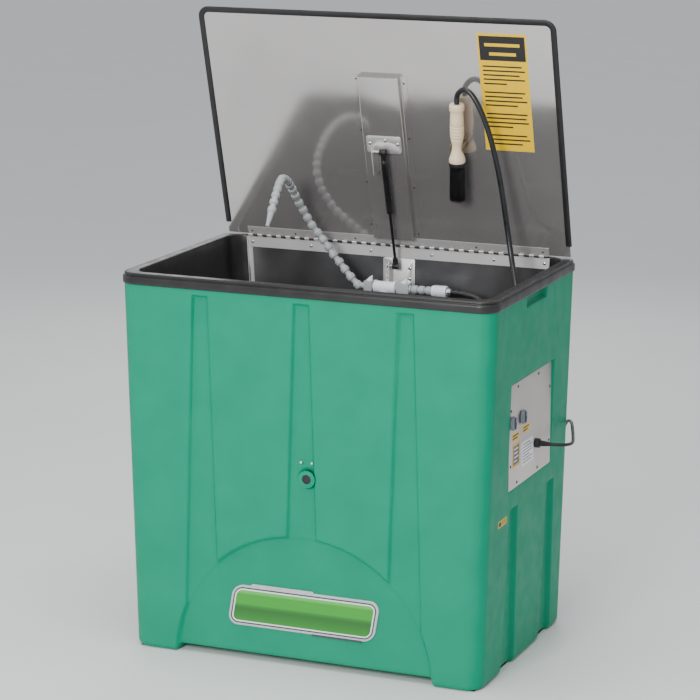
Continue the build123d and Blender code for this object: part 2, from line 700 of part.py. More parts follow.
HOSE_END = up_brush(BRUSH_TUFT_LEN + 168.0)
HOSE_SINK = [
    (199.0, 243.0, 941.0), (250.0, 243.0, 941.0), (306.0, 227.0, 920.0), (337.0, 180.0, 880.0),
    (340.0, 115.0, 843.0), (328.0, 45.0, 815.0), (322.0, -28.0, 800.0), (335.0, -98.0, 797.0),
    (380.0, -142.0, 797.0), (432.0, -132.0, 801.0), (463.0, -80.0, 814.0), (468.0, -12.0, 841.0),
    (462.0, 52.0, 883.0), (445.0, 108.0, 935.0), (418.0, 160.0, 992.0), (405.5, 177.5, 1023.0),
]
HOSE_LID = [
    (405.5, 177.5, 1023.0), (393.0, 195.0, 1054.0), (379.0, 207.0, 1112.0), (369.0, 203.0, 1180.0),
    (361.0, 193.0, 1252.0), (351.0, 178.0, 1325.0), (338.0, 164.0, 1392.0), (330.0, 159.0, 1419.0),
]
HOSE_TAIL = [
    (330.0, 159.0, 1419.0), (322.0, 154.0, 1446.0), (305.0, 150.5, 1483.0), (286.0, 150.0, 1512.0),
    (263.0, 152.0, 1524.0), up_brush(BRUSH_TUFT_LEN + 196.0), HOSE_END,
]


def brush_hose_sink():
    return tube("brush_hose_sink", HOSE_SINK, HOSE_R)


def brush_hose_lid():
    return tube("brush_hose_lid", HOSE_LID, HOSE_R)


def brush_hose_tail():
    return tube("brush_hose_tail", HOSE_TAIL, HOSE_R)


CORD_ROUTE = [
    (562.0, 42.0, 590.0), (586.0, 42.0, 590.0), (606.0, 72.0, 586.0), (602.0, 122.0, 579.0),
    (580.0, 192.0, 575.0), (560.0, 248.0, 582.0), (536.0, 312.0, 590.0), (503.0, 368.0, 576.0),
    (478.0, 392.0, 520.0), (465.0, 392.0, 440.0), (459.0, 386.0, 345.0), (456.0, 384.0, 245.0),
    (451.0, 388.0, 150.0), (438.0, 398.0, 75.0), (415.0, 404.0, 25.0), (378.0, 398.0, 7.0),
    (335.0, 382.0, 5.0), (290.0, 376.0, 8.5),
]


def power_cord():
    return tube("power_cord", CORD_ROUTE, CORD_R)


COIL_MEAN_R = 49.0


def power_cord_coil():
    x, y = CABLE_COIL
    ring = Cylinder(COIL_MEAN_R + 10, 19) - Cylinder(COIL_MEAN_R - 10, 25)
    ring = fillet(ring.edges(), 6.0)
    ring = Pos(x, y, 9.6) * ring
    return ring - sweep_clear()


def sweep_clear():
    """Space that the incoming end of the cord takes where it joins the coil."""
    entry = [rod(a, b, CORD_R + 2.5) for a, b in zip(CORD_ROUTE[-4:], CORD_ROUTE[-3:])]
    return entry[0] + entry[1] + entry[2]


PLUG_PLACE = (205.0, 425.0, 14.5)


def power_plug():
    x, y, z = PLUG_PLACE
    body = box(x - 19, x + 16, y - 14, y + 14, z - 12, z + 12)
    body = fillet(body.edges(), 5.0)
    neck = cone((x + 15, y, z), (x + 26, y, z), 9.0, 5.5)
    plug = body + neck + rod((x - 37, y, z + 5), (x - 19, y, z + 5), 2.4)
    for side in (-1, 1):
        y0, y1 = sorted((y + side * 5.6, y + side * 7.1))
        plug += box(x - 37, x - 18, y0, y1, z - 6, z + 0.5)
    return plug


# ---------------------------------------------------------------- control panel and its parts


def control_panel_plate():
    plate = slab_x(PANEL_X - PANEL_T, PANEL_X, PANEL_HALF_Y, PANEL_Z0, PANEL_Z1, 3.0)
    plate = drilled(plate, panel_screw_places(), (1, 0, 0), 2.1)
    knob_holes = [(PANEL_X, y, KNOB_Z) for y in KNOB_Y]
    plate = drilled(plate, knob_holes, (1, 0, 0), 4.2)
    return drilled(plate, [(PANEL_X, *CORD_EXIT)], (1, 0, 0), 8.0)


KNOB_Y, KNOB_Z = (-158.0, -76.0), 690.0
CORD_EXIT = (42.0, 590.0)


def control_panel_screws():
    return screws(panel_screw_places(), (1, 0, 0), 4.5, 2.4, 2.0, 9.0)


def control_box():
    x1 = PANEL_X - PANEL_T
    outer = box(x1 - 70, x1, -128, 128, PANEL_Z0 + 37, PANEL_Z1 - 37)
    box_shell = outer - box(x1 - 68, x1 + 1, -126, 126, PANEL_Z0 + 39, PANEL_Z1 - 39)
    return box_shell


def knob(y):
    """Round knob with a grip bar and a short shaft through the plate."""
    x = PANEL_X
    shape = cone((x + 4.7, y, KNOB_Z), (x + 9.5, y, KNOB_Z), 19.5, 18.0)
    grip = box(x + 9, x + 16, y - 4.5, y + 4.5, KNOB_Z - 16, KNOB_Z + 16)
    grip = fillet(grip.edges().filter_by(Axis.X), 3.5)
    return shape + grip + rod((x - 12, y, KNOB_Z), (x + 6, y, KNOB_Z), 4.1)


def timer_knob():
    return knob(KNOB_Y[0])


def heat_knob():
    return knob(KNOB_Y[1])


def panel_labels():
    """Plain printed plates stuck on the panel."""
    x0, x1 = PANEL_X, PANEL_X + 0.4
    return group([box(x0, x1, -148, -93, 636, 655), box(x0, x1, -64, -8, 640, 659),
                  box(x0, x1, -143, -84, 563, 626), box(x0, x1, -67, 26, 548, 615)])


def side_sticker():
    """Small plate on the drafted side wall, near the front corner."""
    return SIDE_PLANE * Pos(208.0, 438.0, -0.2) * Box(66, 30, 0.4)


def cord_outlet():
    y, z = CORD_EXIT
    body = rod((PANEL_X, y, z), (PANEL_X + 14, y, z), 13.0)
    body += rod((PANEL_X - 12, y, z), (PANEL_X, y, z), 7.9)
    return body - rod((PANEL_X - 15, y, z), (PANEL_X + 20, y, z), CORD_R + 0.4)


def strain_relief():
    y, z = CORD_EXIT
    sleeve = cone((PANEL_X + 14, y, z), (562, y, z), 9.0, 6.0)
    return sleeve


def front_button():
    x, z = BUTTON
    face = -TANK_D / 2
    return rod((x, face + 0.5, z), (x, face + 11, z), 12.2) + rod((x, face + 11, z), (x, face + 24, z), 5.0)


def button_bezel():
    """Bushing behind the button: ring in the wall with a guide for the stem."""
    x, z = BUTTON
    face = -TANK_D / 2
    ring = rod((x, face + 1.5, z), (x, face + 5, z), 23.5) + rod((x, face + 5, z), (x, face + 23, z), 14.7)
    ring -= rod((x, face, z), (x, face + 17, z), 12.4)
    return ring - rod((x, face, z), (x, face + 40, z), 5.06)


def button_screws():
    return screws(button_screw_places(), (0, -1, 0), 7.0, 1.8, 2.5, 14.0)


def nameplate():
    """Framed blank plate on the arch."""
    y1 = -TANK_D / 2 + ARCH_DEPTH
    plane = Plane(origin=(0, y1, 155), x_dir=(-1, 0, 0), z_dir=(0, -1, 0))
    plate = extrude(plane * RectangleRounded(440, 118, 24), 3.0)
    return plate


# ---------------------------------------------------------------- tank internals


def pump_housing():
    x, y, floor_z = 200.0, 150.0, FLOOR_GAP + WALL
    pump = rod((x, y, floor_z), (x, y, floor_z + 130), 62.0) + rod((x, y, floor_z + 130), (x, y, floor_z + 150), 45.0)
    return pump + rod((x, y, floor_z + 150), (x, y, floor_z + 180), 10.0)


SUPPLY_ROUTE = [(200.0, 150.0, 208.0), (200.0, 150.0, 330.0), (185.0, 165.0, 440.0), (120.0, 200.0, 530.0),
                (50.0, 232.0, 590.0), (2.0, 243.0, 660.0), (2.0, 243.0, 719.8)]


def supply_hose():
    return tube("supply_hose", SUPPLY_ROUTE, 9.5)


def heater_element():
    """Bent immersion heater on the control box side of the tank."""
    route = [(430.0, -150.0, 200.0), (330.0, -150.0, 120.0), (-150.0, -150.0, 110.0), (-170.0, -90.0, 110.0),
             (-150.0, -40.0, 110.0), (330.0, -40.0, 120.0), (430.0, -40.0, 200.0)]
    path = FilletPolyline(*route, radius=22.0)
    loop = sweep(Plane(origin=path @ 0, z_dir=path % 0) * Circle(6.0), path=path)
    return loop + box(415, 440, -175, -15, 185, 225)


# ---------------------------------------------------------------- output


NODES = [
    cabinet_shell, sink_basin, sink_back_panel, drain_strainer, parts_grid,
    hinge_lower_leaf, hinge_upper_leaf, hinge_pin, hinge_lower_screws,
    lid_panel, lid_edge_trim, lid_channel, lid_strut_bracket, lid_bracket_bolts, upper_ball_stud,
    brush_clip, lid_label,
    tank_strut_bracket, tank_bracket_screws, lower_ball_stud,
    strut_lower_socket, strut_rod, strut_upper_socket, strut_cylinder,
    manifold_tee, riser_pipe, spout_valve_body, brush_valve_body, spout_valve_lever, brush_valve_lever,
    link_balls, hose_coupler, hose_barb, spout_lower, spout_middle, spout_nozzle,
    brush_handle, brush_head, brush_hose_sink, brush_hose_lid, brush_hose_tail,
    power_cord, power_cord_coil, power_plug, cord_outlet, strain_relief,
    control_panel_plate, control_panel_screws, control_box, timer_knob, heat_knob, panel_labels,
    side_sticker, front_button, button_bezel, button_screws, nameplate,
    pump_housing, supply_hose, heater_element,
]

if __name__ == "__main__":
    os.makedirs("parts", exist_ok=True)
    for build in NODES:
        export_step(build(), f"parts/{build.__name__}.step")
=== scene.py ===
import json
import logging
import math
from dataclasses import dataclass, field
from enum import Enum
from typing import Callable, Iterable, Sequence

import bmesh
import bpy
import numpy as np
from mathutils import Matrix, Vector

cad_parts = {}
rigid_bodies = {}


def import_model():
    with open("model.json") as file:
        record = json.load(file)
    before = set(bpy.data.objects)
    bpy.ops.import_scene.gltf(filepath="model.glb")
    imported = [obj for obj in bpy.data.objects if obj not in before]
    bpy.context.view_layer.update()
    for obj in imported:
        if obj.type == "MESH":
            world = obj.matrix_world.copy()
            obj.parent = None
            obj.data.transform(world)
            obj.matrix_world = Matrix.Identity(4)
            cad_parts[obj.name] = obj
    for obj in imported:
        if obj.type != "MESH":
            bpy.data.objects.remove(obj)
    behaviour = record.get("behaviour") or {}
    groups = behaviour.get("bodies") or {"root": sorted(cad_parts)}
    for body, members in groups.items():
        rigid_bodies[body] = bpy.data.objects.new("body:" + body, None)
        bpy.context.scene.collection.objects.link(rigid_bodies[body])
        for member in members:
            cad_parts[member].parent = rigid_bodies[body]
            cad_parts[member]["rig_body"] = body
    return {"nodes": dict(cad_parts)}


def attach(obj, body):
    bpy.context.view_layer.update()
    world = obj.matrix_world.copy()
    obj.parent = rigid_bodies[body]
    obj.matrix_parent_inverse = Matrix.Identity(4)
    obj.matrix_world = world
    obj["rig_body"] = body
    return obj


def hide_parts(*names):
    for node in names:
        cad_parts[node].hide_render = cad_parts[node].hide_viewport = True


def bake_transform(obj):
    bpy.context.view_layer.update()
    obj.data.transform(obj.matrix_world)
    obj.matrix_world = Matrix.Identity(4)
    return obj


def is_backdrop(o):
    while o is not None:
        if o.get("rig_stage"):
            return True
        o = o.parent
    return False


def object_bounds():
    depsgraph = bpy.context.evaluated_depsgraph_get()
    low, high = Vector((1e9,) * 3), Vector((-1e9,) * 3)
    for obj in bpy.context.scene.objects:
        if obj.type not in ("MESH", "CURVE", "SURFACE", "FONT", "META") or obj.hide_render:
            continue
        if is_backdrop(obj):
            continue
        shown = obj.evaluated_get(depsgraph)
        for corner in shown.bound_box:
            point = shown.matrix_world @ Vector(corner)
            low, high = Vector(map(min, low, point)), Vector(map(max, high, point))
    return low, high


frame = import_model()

log = logging.getLogger("parts_washer")
Point = tuple[float, float, float]

# ---- finishes


class Shader:
    """A Principled material under construction, patterned on Object coordinates."""

    def __init__(self, name: str, color: Point, roughness: float, metallic: float = 0.0) -> None:
        """Start a material.

        Args:
            name: The material's name.
            color: Linear base colour.
            roughness: The shader's roughness.
            metallic: 1 for bare metal, 0 for the rest.
        """
        self.material = bpy.data.materials.new(f"{name} finish")
        self.material.use_nodes = True
        self.tree = self.material.node_tree
        self.base = self.tree.nodes["Principled BSDF"]
        self.base.inputs["Base Color"].default_value = (*color, 1.0)
        self.base.inputs["Roughness"].default_value = roughness
        self.base.inputs["Metallic"].default_value = metallic
        self.place = self.tree.nodes.new("ShaderNodeTexCoord").outputs["Object"]

    def set(self, **values: float) -> "Shader":
        """Set plain numbers on the shader; a name's underscores stand for spaces."""
        for name, value in values.items():
            self.base.inputs[name.replace("_", " ")].default_value = value
        return self

    def noise(self, scale: float, detail: float = 3.0, stretch: Point = (1, 1, 1)) -> bpy.types.NodeSocket:
        """Noise over the object.

        Args:
            scale: Cells per metre.
            detail: Octaves.
            stretch: How much the pattern is squeezed along each axis.

        Returns:
            The noise's factor.
        """
        mapping = self.tree.nodes.new("ShaderNodeMapping")
        mapping.inputs["Scale"].default_value = stretch
        noise = self.tree.nodes.new("ShaderNodeTexNoise")
        noise.inputs["Scale"].default_value = scale
        noise.inputs["Detail"].default_value = detail
        self.tree.links.new(self.place, mapping.inputs["Vector"])
        self.tree.links.new(mapping.outputs["Vector"], noise.inputs["Vector"])
        return noise.outputs["Fac"]

    def remap(self, source: bpy.types.NodeSocket, low: float, high: float,
              start: float = 0.35, end: float = 0.65) -> bpy.types.NodeSocket:
        """Turn a factor from start..end into low..high, held at both ends.

        Args:
            source: The factor to change.
            low: Value at start and below.
            high: Value at end and above.
            start: The factor's low end.
            end: The factor's high end.

        Returns:
            The new factor.
        """
        node = self.tree.nodes.new("ShaderNodeMapRange")
        node.inputs["From Min"].default_value = start
        node.inputs["From Max"].default_value = end
        node.inputs["To Min"].default_value = low
        node.inputs["To Max"].default_value = high
        self.tree.links.new(source, node.inputs["Value"])
        return node.outputs["Result"]

    def tint(self, factor: bpy.types.NodeSocket, stops: Sequence[tuple[float, Point]]) -> "Shader":
        """Colour the surface by a factor through a ramp of (position, colour) stops.

        Args:
            factor: What picks the colour.
            stops: Positions with their colours.

        Returns:
            This shader, so that calls can be chained.
        """
        ramp = self.tree.nodes.new("ShaderNodeValToRGB")
        elements = ramp.color_ramp.elements
        while len(elements) < len(stops):
            elements.new(0.5)
        for element, (position, color) in zip(elements, stops):
            element.position = position
            element.color = (*color, 1.0)
        self.tree.links.new(factor, ramp.inputs["Fac"])
        self.tree.links.new(ramp.outputs["Color"], self.base.inputs["Base Color"])
        return self

    def vary_roughness(self, factor: bpy.types.NodeSocket, low: float, high: float) -> "Shader":
        """Let a factor move the roughness between two values."""
        self.tree.links.new(self.remap(factor, low, high), self.base.inputs["Roughness"])
        return self

    def bump(self, *layers: tuple[bpy.types.NodeSocket, float]) -> "Shader":
        """Raise the surface by each (height factor, depth in metres) layer."""
        normal = None
        for height, depth in layers:
            node = self.tree.nodes.new("ShaderNodeBump")
            node.inputs["Strength"].default_value = 1.0
            node.inputs["Distance"].default_value = depth
            self.tree.links.new(height, node.inputs["Height"])
            if normal is not None:
                self.tree.links.new(normal, node.inputs["Normal"])
            normal = node.outputs["Normal"]
        self.tree.links.new(normal, self.base.inputs["Normal"])
        return self

    def along(self, axis: str) -> bpy.types.NodeSocket:
        """One of the object's coordinates, X, Y or Z, in metres."""
        split = self.tree.nodes.new("ShaderNodeSeparateXYZ")
        self.tree.links.new(self.place, split.inputs["Vector"])
        return split.outputs[axis]


def scaled(color: Point, factor: float) -> Point:
    """The colour made lighter or darker by a factor."""
    return tuple(min(1.0, c * factor) for c in color)


@dataclass(frozen=True)
class Moulded:
    """Moulded plastic: a fine mould grain, slight cloudiness, and a soft sheen."""

    name: str
    color: Point
    roughness: float = 0.45
    grain: float = 900.0
    depth: float = 0.00006
    cloud: float = 0.06
    coat: float = 0.0
    gloss: float = 0.5

    def build(self) -> bpy.types.Material:
        """Return the material."""
        shader = Shader(self.name, self.color, self.roughness)
        cloud = shader.noise(9.0, 4.0)
        stops = ((0.3, scaled(self.color, 1 - self.cloud)), (0.7, scaled(self.color, 1 + self.cloud)))
        shader.tint(cloud, stops)
        shader.vary_roughness(shader.noise(22.0, 3.0), self.roughness - 0.05, self.roughness + 0.06)
        shader.bump((shader.noise(self.grain, 2.0), self.depth), (shader.noise(30.0, 2.0), self.depth * 2))
        return shader.set(Coat_Weight=self.coat, Coat_Roughness=0.2, Specular_IOR_Level=self.gloss).material


@dataclass(frozen=True)
class SheetSteel:
    """Rolled stainless sheet: blurred reflections, rolling streaks and cloudy handling marks."""

    name: str
    color: Point = (0.44, 0.43, 0.42)
    roughness: float = 0.27
    streak: Point = (3.0, 60.0, 60.0)
    cloud: float = 0.12
    dents: float = 0.0004
    metallic: float = 1.0

    def build(self) -> bpy.types.Material:
        """Return the material."""
        shader = Shader(self.name, self.color, self.roughness, metallic=self.metallic)
        cloud = shader.noise(5.0, 3.0)
        stops = ((0.3, scaled(self.color, 1 - self.cloud)), (0.7, scaled(self.color, 1 + self.cloud)))
        shader.tint(cloud, stops)
        shader.vary_roughness(shader.noise(6.0, 2.0), self.roughness - 0.02, self.roughness + 0.03)
        shader.bump((shader.noise(12.0, 2.0, self.streak), 0.000006), (shader.noise(2.6, 1.0), self.dents))
        return shader.material


@dataclass(frozen=True)
class Plated:
    """Zinc or chrome plated metal with worn, slightly dull patches."""

    name: str
    color: Point = (0.62, 0.62, 0.63)
    roughness: float = 0.24

    def build(self) -> bpy.types.Material:
        """Return the material."""
        shader = Shader(self.name, self.color, self.roughness, metallic=1.0)
        shader.tint(shader.noise(60.0, 4.0), ((0.3, scaled(self.color, 0.8)), (0.7, scaled(self.color, 1.1))))
        shader.vary_roughness(shader.noise(90.0, 3.0), self.roughness - 0.06, self.roughness + 0.12)
        return shader.bump((shader.noise(160.0, 1.0), 0.00001)).material


@dataclass(frozen=True)
class Rubber:
    """Black rubber or soft vinyl, dull with dusty patches."""

    name: str
    color: Point = (0.009, 0.009, 0.0095)
    roughness: float = 0.5

    def build(self) -> bpy.types.Material:
        """Return the material."""
        shader = Shader(self.name, self.color, self.roughness)
        shader.tint(shader.noise(25.0, 4.0), ((0.35, self.color), (0.8, scaled(self.color, 1.8))))
        shader.vary_roughness(shader.noise(40.0, 3.0), self.roughness - 0.08, self.roughness + 0.1)
        return shader.bump((shader.noise(1400.0, 2.0), 0.00004)).material


@dataclass(frozen=True)
class PrintedFilm:
    """Printed film: flat ink under a faintly uneven clear face."""

    name: str
    color: Point
    roughness: float = 0.4

    def build(self) -> bpy.types.Material:
        """Return the material."""
        shader = Shader(self.name, self.color, self.roughness)
        shader.tint(shader.noise(40.0, 2.0), ((0.3, scaled(self.color, 0.96)), (0.7, scaled(self.color, 1.03))))
        shader.vary_roughness(shader.noise(18.0, 3.0), self.roughness - 0.05, self.roughness + 0.08)
        return shader.bump((shader.noise(70.0, 2.0), 0.00003)).material


@dataclass(frozen=True)
class BadgeFace:
    """Green enamel with a darker band across the middle and a painted highlight line near the top."""

    name: str
    middle: float
    half: float

    def build(self) -> bpy.types.Material:
        """Return the material."""
        shader = Shader(self.name, (0.1, 0.45, 0.05), 0.3)
        height = shader.remap(shader.along("Z"), 0.0, 1.0, self.middle - self.half, self.middle + self.half)
        # The light last stop near the top is a painted highlight.
        shader.tint(height, ((0.0, (0.012, 0.26, 0.008)), (0.4, (0.006, 0.13, 0.005)), (0.5, (0.01, 0.22, 0.007)),
                             (0.56, (0.022, 0.36, 0.012)), (0.86, (0.022, 0.35, 0.012)), (0.92, (0.1, 0.52, 0.06))))
        shader.bump((shader.noise(300.0, 2.0), 0.00002))
        return shader.set(Coat_Weight=0.6, Coat_Roughness=0.08).material


class Finish(Enum):
    """Every finish on the machine."""

    GREEN_BODY = Moulded("green_body", (0.0, 0.285, 0.155), 0.48, grain=700.0, depth=0.00008, cloud=0.05, gloss=0.18)
    BLACK_SINK = Moulded("black_sink", (0.017, 0.0165, 0.017), 0.36, grain=500.0, depth=0.00003, cloud=0.25)
    LID_STEEL = SheetSteel("lid_steel", (0.52, 0.5, 0.49), 0.12, cloud=0.05, dents=0.0, metallic=0.74)
    LINER_STEEL = SheetSteel("liner_steel", (0.2, 0.2, 0.205), 0.34, cloud=0.35, dents=0.0004)
    PANEL_STEEL = SheetSteel("panel_steel", (0.68, 0.63, 0.6), 0.42, streak=(60.0, 3.0, 60.0), cloud=0.06,
                             dents=0.0002,
                             metallic=0.75)
    HINGE_STEEL = SheetSteel("hinge_steel", (0.74, 0.72, 0.71), 0.42, cloud=0.08, dents=0.0, metallic=0.7)
    GRID_STEEL = SheetSteel("grid_steel", (0.4, 0.4, 0.4), 0.35, cloud=0.2, dents=0.0001)
    ZINC = Plated("zinc_hardware", (0.7, 0.69, 0.68), 0.26)
    # Dark zinc for the panel screws and the hinge pin; on the lid's hinge knuckles it is painted shade standing in for
    # the dark slots between the tank's knuckles.
    DARK_ZINC_AND_SLOT_SHADE = Plated("dark_zinc_and_slot_shade", (0.16, 0.15, 0.14), 0.35)
    HEAT_MARK = Plated("weld_mark", (0.2, 0.11, 0.055), 0.45)
    SPRING_BRASS = Plated("clip_spring", (0.46, 0.36, 0.22), 0.34)
    EDGE_RUBBER = Rubber("edge_rubber")
    HOSE_RUBBER = Rubber("hose_rubber", (0.009, 0.01, 0.012), 0.34)
    CORD_RUBBER = Rubber("cord_rubber", (0.008, 0.008, 0.008), 0.42)
    SATIN_BLACK = Moulded("strut_black", (0.011, 0.011, 0.012), 0.26, grain=300.0, depth=0.00002, cloud=0.1, coat=0.3)
    SOCKET_BLACK = Moulded("socket_black", (0.014, 0.014, 0.015), 0.4, grain=900.0, cloud=0.15)
    LINK_GREY = Moulded("link_grey", (0.4, 0.42, 0.425), 0.34, grain=500.0, depth=0.00004, cloud=0.1)
    FITTING_WHITE = Moulded("fitting_white", (0.84, 0.86, 0.92), 0.3, grain=400.0, depth=0.00003, cloud=0.04)
    PIPE_GREY = Moulded("riser_grey", (0.15, 0.155, 0.16), 0.45)
    HANDLE_CREAM = Moulded("brush_cream", (0.9, 0.72, 0.5), 0.36, grain=350.0, depth=0.00004, cloud=0.08)
    BRISTLE_BLACK = Moulded("bristle_black", (0.005, 0.005, 0.006), 0.36, grain=1500.0, cloud=0.3)
    KNOB_GREY = Moulded("knob_grey", (0.045, 0.055, 0.07), 0.38, grain=700.0, cloud=0.1)
    KNOB_FACE = Moulded("knob_face", (0.15, 0.185, 0.22), 0.36, grain=700.0, cloud=0.1)
    PLUG_BLACK = Moulded("plug_black", (0.014, 0.014, 0.014), 0.4)
    PUMP_BLACK = Moulded("pump_black", (0.02, 0.02, 0.024), 0.5)
    BOX_GREY = Moulded("box_grey", (0.12, 0.12, 0.12), 0.5)
    YELLOW_FILM = PrintedFilm("label_yellow", (0.92, 0.58, 0.0))
    PANEL_YELLOW = PrintedFilm("panel_yellow", (0.78, 0.47, 0.03))
    WHITE_FILM = PrintedFilm("label_white", (0.9, 0.91, 0.97))
    BLACK_INK = PrintedFilm("ink_black", (0.012, 0.012, 0.012))
    GREY_INK = PrintedFilm("ink_grey", (0.12, 0.12, 0.12))
    SLATE_INK = PrintedFilm("ink_slate", (0.16, 0.19, 0.24))
    BADGE_SILVER = Moulded("badge_silver", (0.56, 0.56, 0.58), 0.28, cloud=0.05, depth=0.00001)
    BADGE_LINE = Moulded("badge_line", (0.05, 0.06, 0.07), 0.3, cloud=0.1)
    BADGE_GREEN = BadgeFace("badge_green", 0.155, 0.044)

    @property
    def material(self) -> bpy.types.Material:
        """The finish's material, built on first use."""
        return bpy.data.materials.get(f"{self.value.name} finish") or self.value.build()


# ---- meshes


def as_object(name: str, mesh: bpy.types.Mesh, finish: Finish, sharp: float = 40.0) -> bpy.types.Object:
    """Link a mesh as an object at the origin, smooth but for edges over the sharp angle in degrees.

    Args:
        name: The object's name.
        mesh: The mesh it shows.
        finish: The finish.
        sharp: Edges over this angle, in degrees, stay sharp.

    Returns:
        The object, linked to the scene.
    """
    made = bpy.data.objects.new(name, mesh)
    bpy.context.scene.collection.objects.link(made)
    mesh.materials.clear()
    mesh.materials.append(finish.material)
    mesh.shade_smooth()
    mesh.set_sharp_from_angle(angle=math.radians(sharp))
    return made


def from_points(name: str, points: Iterable[Sequence[float]], faces: Iterable[Sequence[int]],
                finish: Finish, sharp: float = 40.0) -> bpy.types.Object:
    """Make an object from points and faces, merged and with its faces turned outwards.

    Args:
        name: The object's name.
        points: Corner points in metres.
        faces: Point numbers round each face.
        finish: The finish.
        sharp: Edges over this angle, in degrees, stay sharp.

    Returns:
        The object.
    """
    mesh = bpy.data.meshes.new(name)
    mesh.from_pydata([tuple(p) for p in points], [], [tuple(f) for f in faces])
    work = bmesh.new()
    work.from_mesh(mesh)
    bmesh.ops.remove_doubles(work, verts=work.verts, dist=1e-6)
    bmesh.ops.recalc_face_normals(work, faces=work.faces)
    work.to_mesh(mesh)
    work.free()
    return as_object(name, mesh, finish, sharp)


def stack(name: str, loops: Sequence[np.ndarray], finish: Finish, caps: bool = True,
          sharp: float = 40.0) -> bpy.types.Object:
    """Skin a pile of closed loops that have the same number of points.

    Args:
        name: The object's name.
        loops: Arrays of points, one closed loop each.
        finish: The finish.
        caps: Whether the first and last loops are filled; a pile that ends where it starts is a ring, without caps.
        sharp: Edges over this angle stay sharp.

    Returns:
        The object.
    """
    count = len(loops[0])
    ring = len(loops) > 2 and np.allclose(loops[0], loops[-1])
    loops = loops[:-1] if ring else loops
    faces: list[Sequence[int]] = []
    for k in range(len(loops) if ring else len(loops) - 1):
        near, far = k * count, (k + 1) % len(loops) * count
        for i in range(count):
            j = (i + 1) % count
            faces.append((near + i, near + j, far + j, far + i))
    if caps and not ring:
        faces.append(list(range(count)))
        faces.append(list(range((len(loops) - 1) * count, len(loops) * count)))
    return from_points(name, np.concatenate(loops), faces, finish, sharp)


def rounded_loop(x0: float, x1: float, y0: float, y1: float, radius: float, z: float, steps: int = 10) -> np.ndarray:
    """A level rounded rectangle as one closed loop of points.

    Args:
        x0: Left side.
        x1: Right side.
        y0: Near side.
        y1: Far side.
        radius: The corners' radius.
        z: Height of the loop.
        steps: Steps in each corner.

    Returns:
        The points, one row each.
    """
    points = []
    corners = ((x1, y1, 0), (x0, y1, 90), (x0, y0, 180), (x1, y0, 270))
    for x, y, turn in corners:
        centre = (x - math.copysign(radius, x - (x0 + x1) / 2), y - math.copysign(radius, y - (y0 + y1) / 2))
        for k in range(steps + 1):
            angle = math.radians(turn + 90 * k / steps)
            points.append((centre[0] + radius * math.cos(angle), centre[1] + radius * math.sin(angle), z))
    return np.array(points)


def axes_for(direction: Vector) -> tuple[Vector, Vector]:
    """Two unit vectors square to a direction and to each other."""
    helper = Vector((0, 0, 1)) if abs(direction.z) < 0.9 else Vector((1, 0, 0))
    side = direction.cross(helper).normalized()
    return side, direction.cross(side).normalized()


def turned(name: str, start: Sequence[float], direction: Sequence[float], profile: Sequence[tuple[float, float]],
           finish: Finish, sides: int = 40, sharp: float = 35.0) -> bpy.types.Object:
    """Turn a profile of (distance, radius) pairs about a line, as on a lathe.

    Args:
        name: The object's name.
        start: The point that distance 0 stands for.
        direction: The way distance grows.
        profile: The outline, from one end to the other.
        finish: The finish.
        sides: Faces round the axis.
        sharp: Edges over this angle stay sharp.

    Returns:
        The object.
    """
    axis = Vector(direction).normalized()
    side, other = axes_for(axis)
    turns = [2 * math.pi * k / sides for k in range(sides)]
    loops = []
    for distance, radius in profile:
        centre = Vector(start) + axis * distance
        loops.append(np.array([centre + (side * math.cos(t) + other * math.sin(t)) * max(radius, 1e-5)
                               for t in turns]))
    return stack(name, loops, finish, sharp=sharp)


def swept(name: str, path: Sequence[Vector], section: Callable[[float], tuple[float, float]], finish: Finish,
          up: Vector | None = None, sides: int = 16, sharp: float = 60.0) -> bpy.types.Object:
    """Sweep a closed section along a line.

    Args:
        name: The object's name.
        path: The line's points.
        section: Gives (sideways, upwards) for a turn from 0 to 2 pi.
        finish: The finish.
        up: A fixed upward direction; without it the frame is carried along the line untwisted.
        sides: Points round the section.
        sharp: Edges over this angle stay sharp.

    Returns:
        The object.
    """
    loops = []
    carried = up
    for k, point in enumerate(path):
        ahead = (path[min(k + 1, len(path) - 1)] - path[max(k - 1, 0)]).normalized()
        if carried is None:
            carried = axes_for(ahead)[0]
        lift = up if up is not None else (carried - ahead * carried.dot(ahead)).normalized()
        carried = lift
        side = ahead.cross(lift).normalized()
        ring = []
        for i in range(sides):
            sideways, upwards = section(2 * math.pi * i / sides)
            ring.append(point + side * sideways + lift * upwards)
        loops.append(np.array(ring))
    return stack(name, loops, finish, sharp=sharp)


def block(name: str, low: Point, high: Point, radius: float, finish: Finish) -> bpy.types.Object:
    """A box between two corners with its edges rounded.

    Args:
        name: The object's name.
        low: The low corner.
        high: The high corner.
        radius: The edges' radius.
        finish: The finish.

    Returns:
        The object.
    """
    mesh = bpy.data.meshes.new(name)
    work = bmesh.new()
    bmesh.ops.create_cube(work, size=1.0)
    centre, size = (Vector(low) + Vector(high)) / 2, Vector(high) - Vector(low)
    for vert in work.verts:
        vert.co = Vector(c * s for c, s in zip(vert.co, size)) + centre
    if radius > 0:
        bmesh.ops.bevel(work, geom=list(work.edges), offset=radius, segments=3, profile=0.5, affect="EDGES")
    work.to_mesh(mesh)
    work.free()
    return as_object(name, mesh, finish)


def joined(name: str, parts: Sequence[bpy.types.Object]) -> bpy.types.Object:
    """Join several objects, each keeping its materials, into one mesh with a new name.

    Args:
        name: The new mesh's name.
        parts: The objects to join; the first one stays.

    Returns:
        The joined object.
    """
    with bpy.context.temp_override(active_object=parts[0], object=parts[0], selected_editable_objects=list(parts),
                                   selected_objects=list(parts)):
        bpy.ops.object.join()
    parts[0].name = name
    parts[0].data.name = name
    return parts[0]


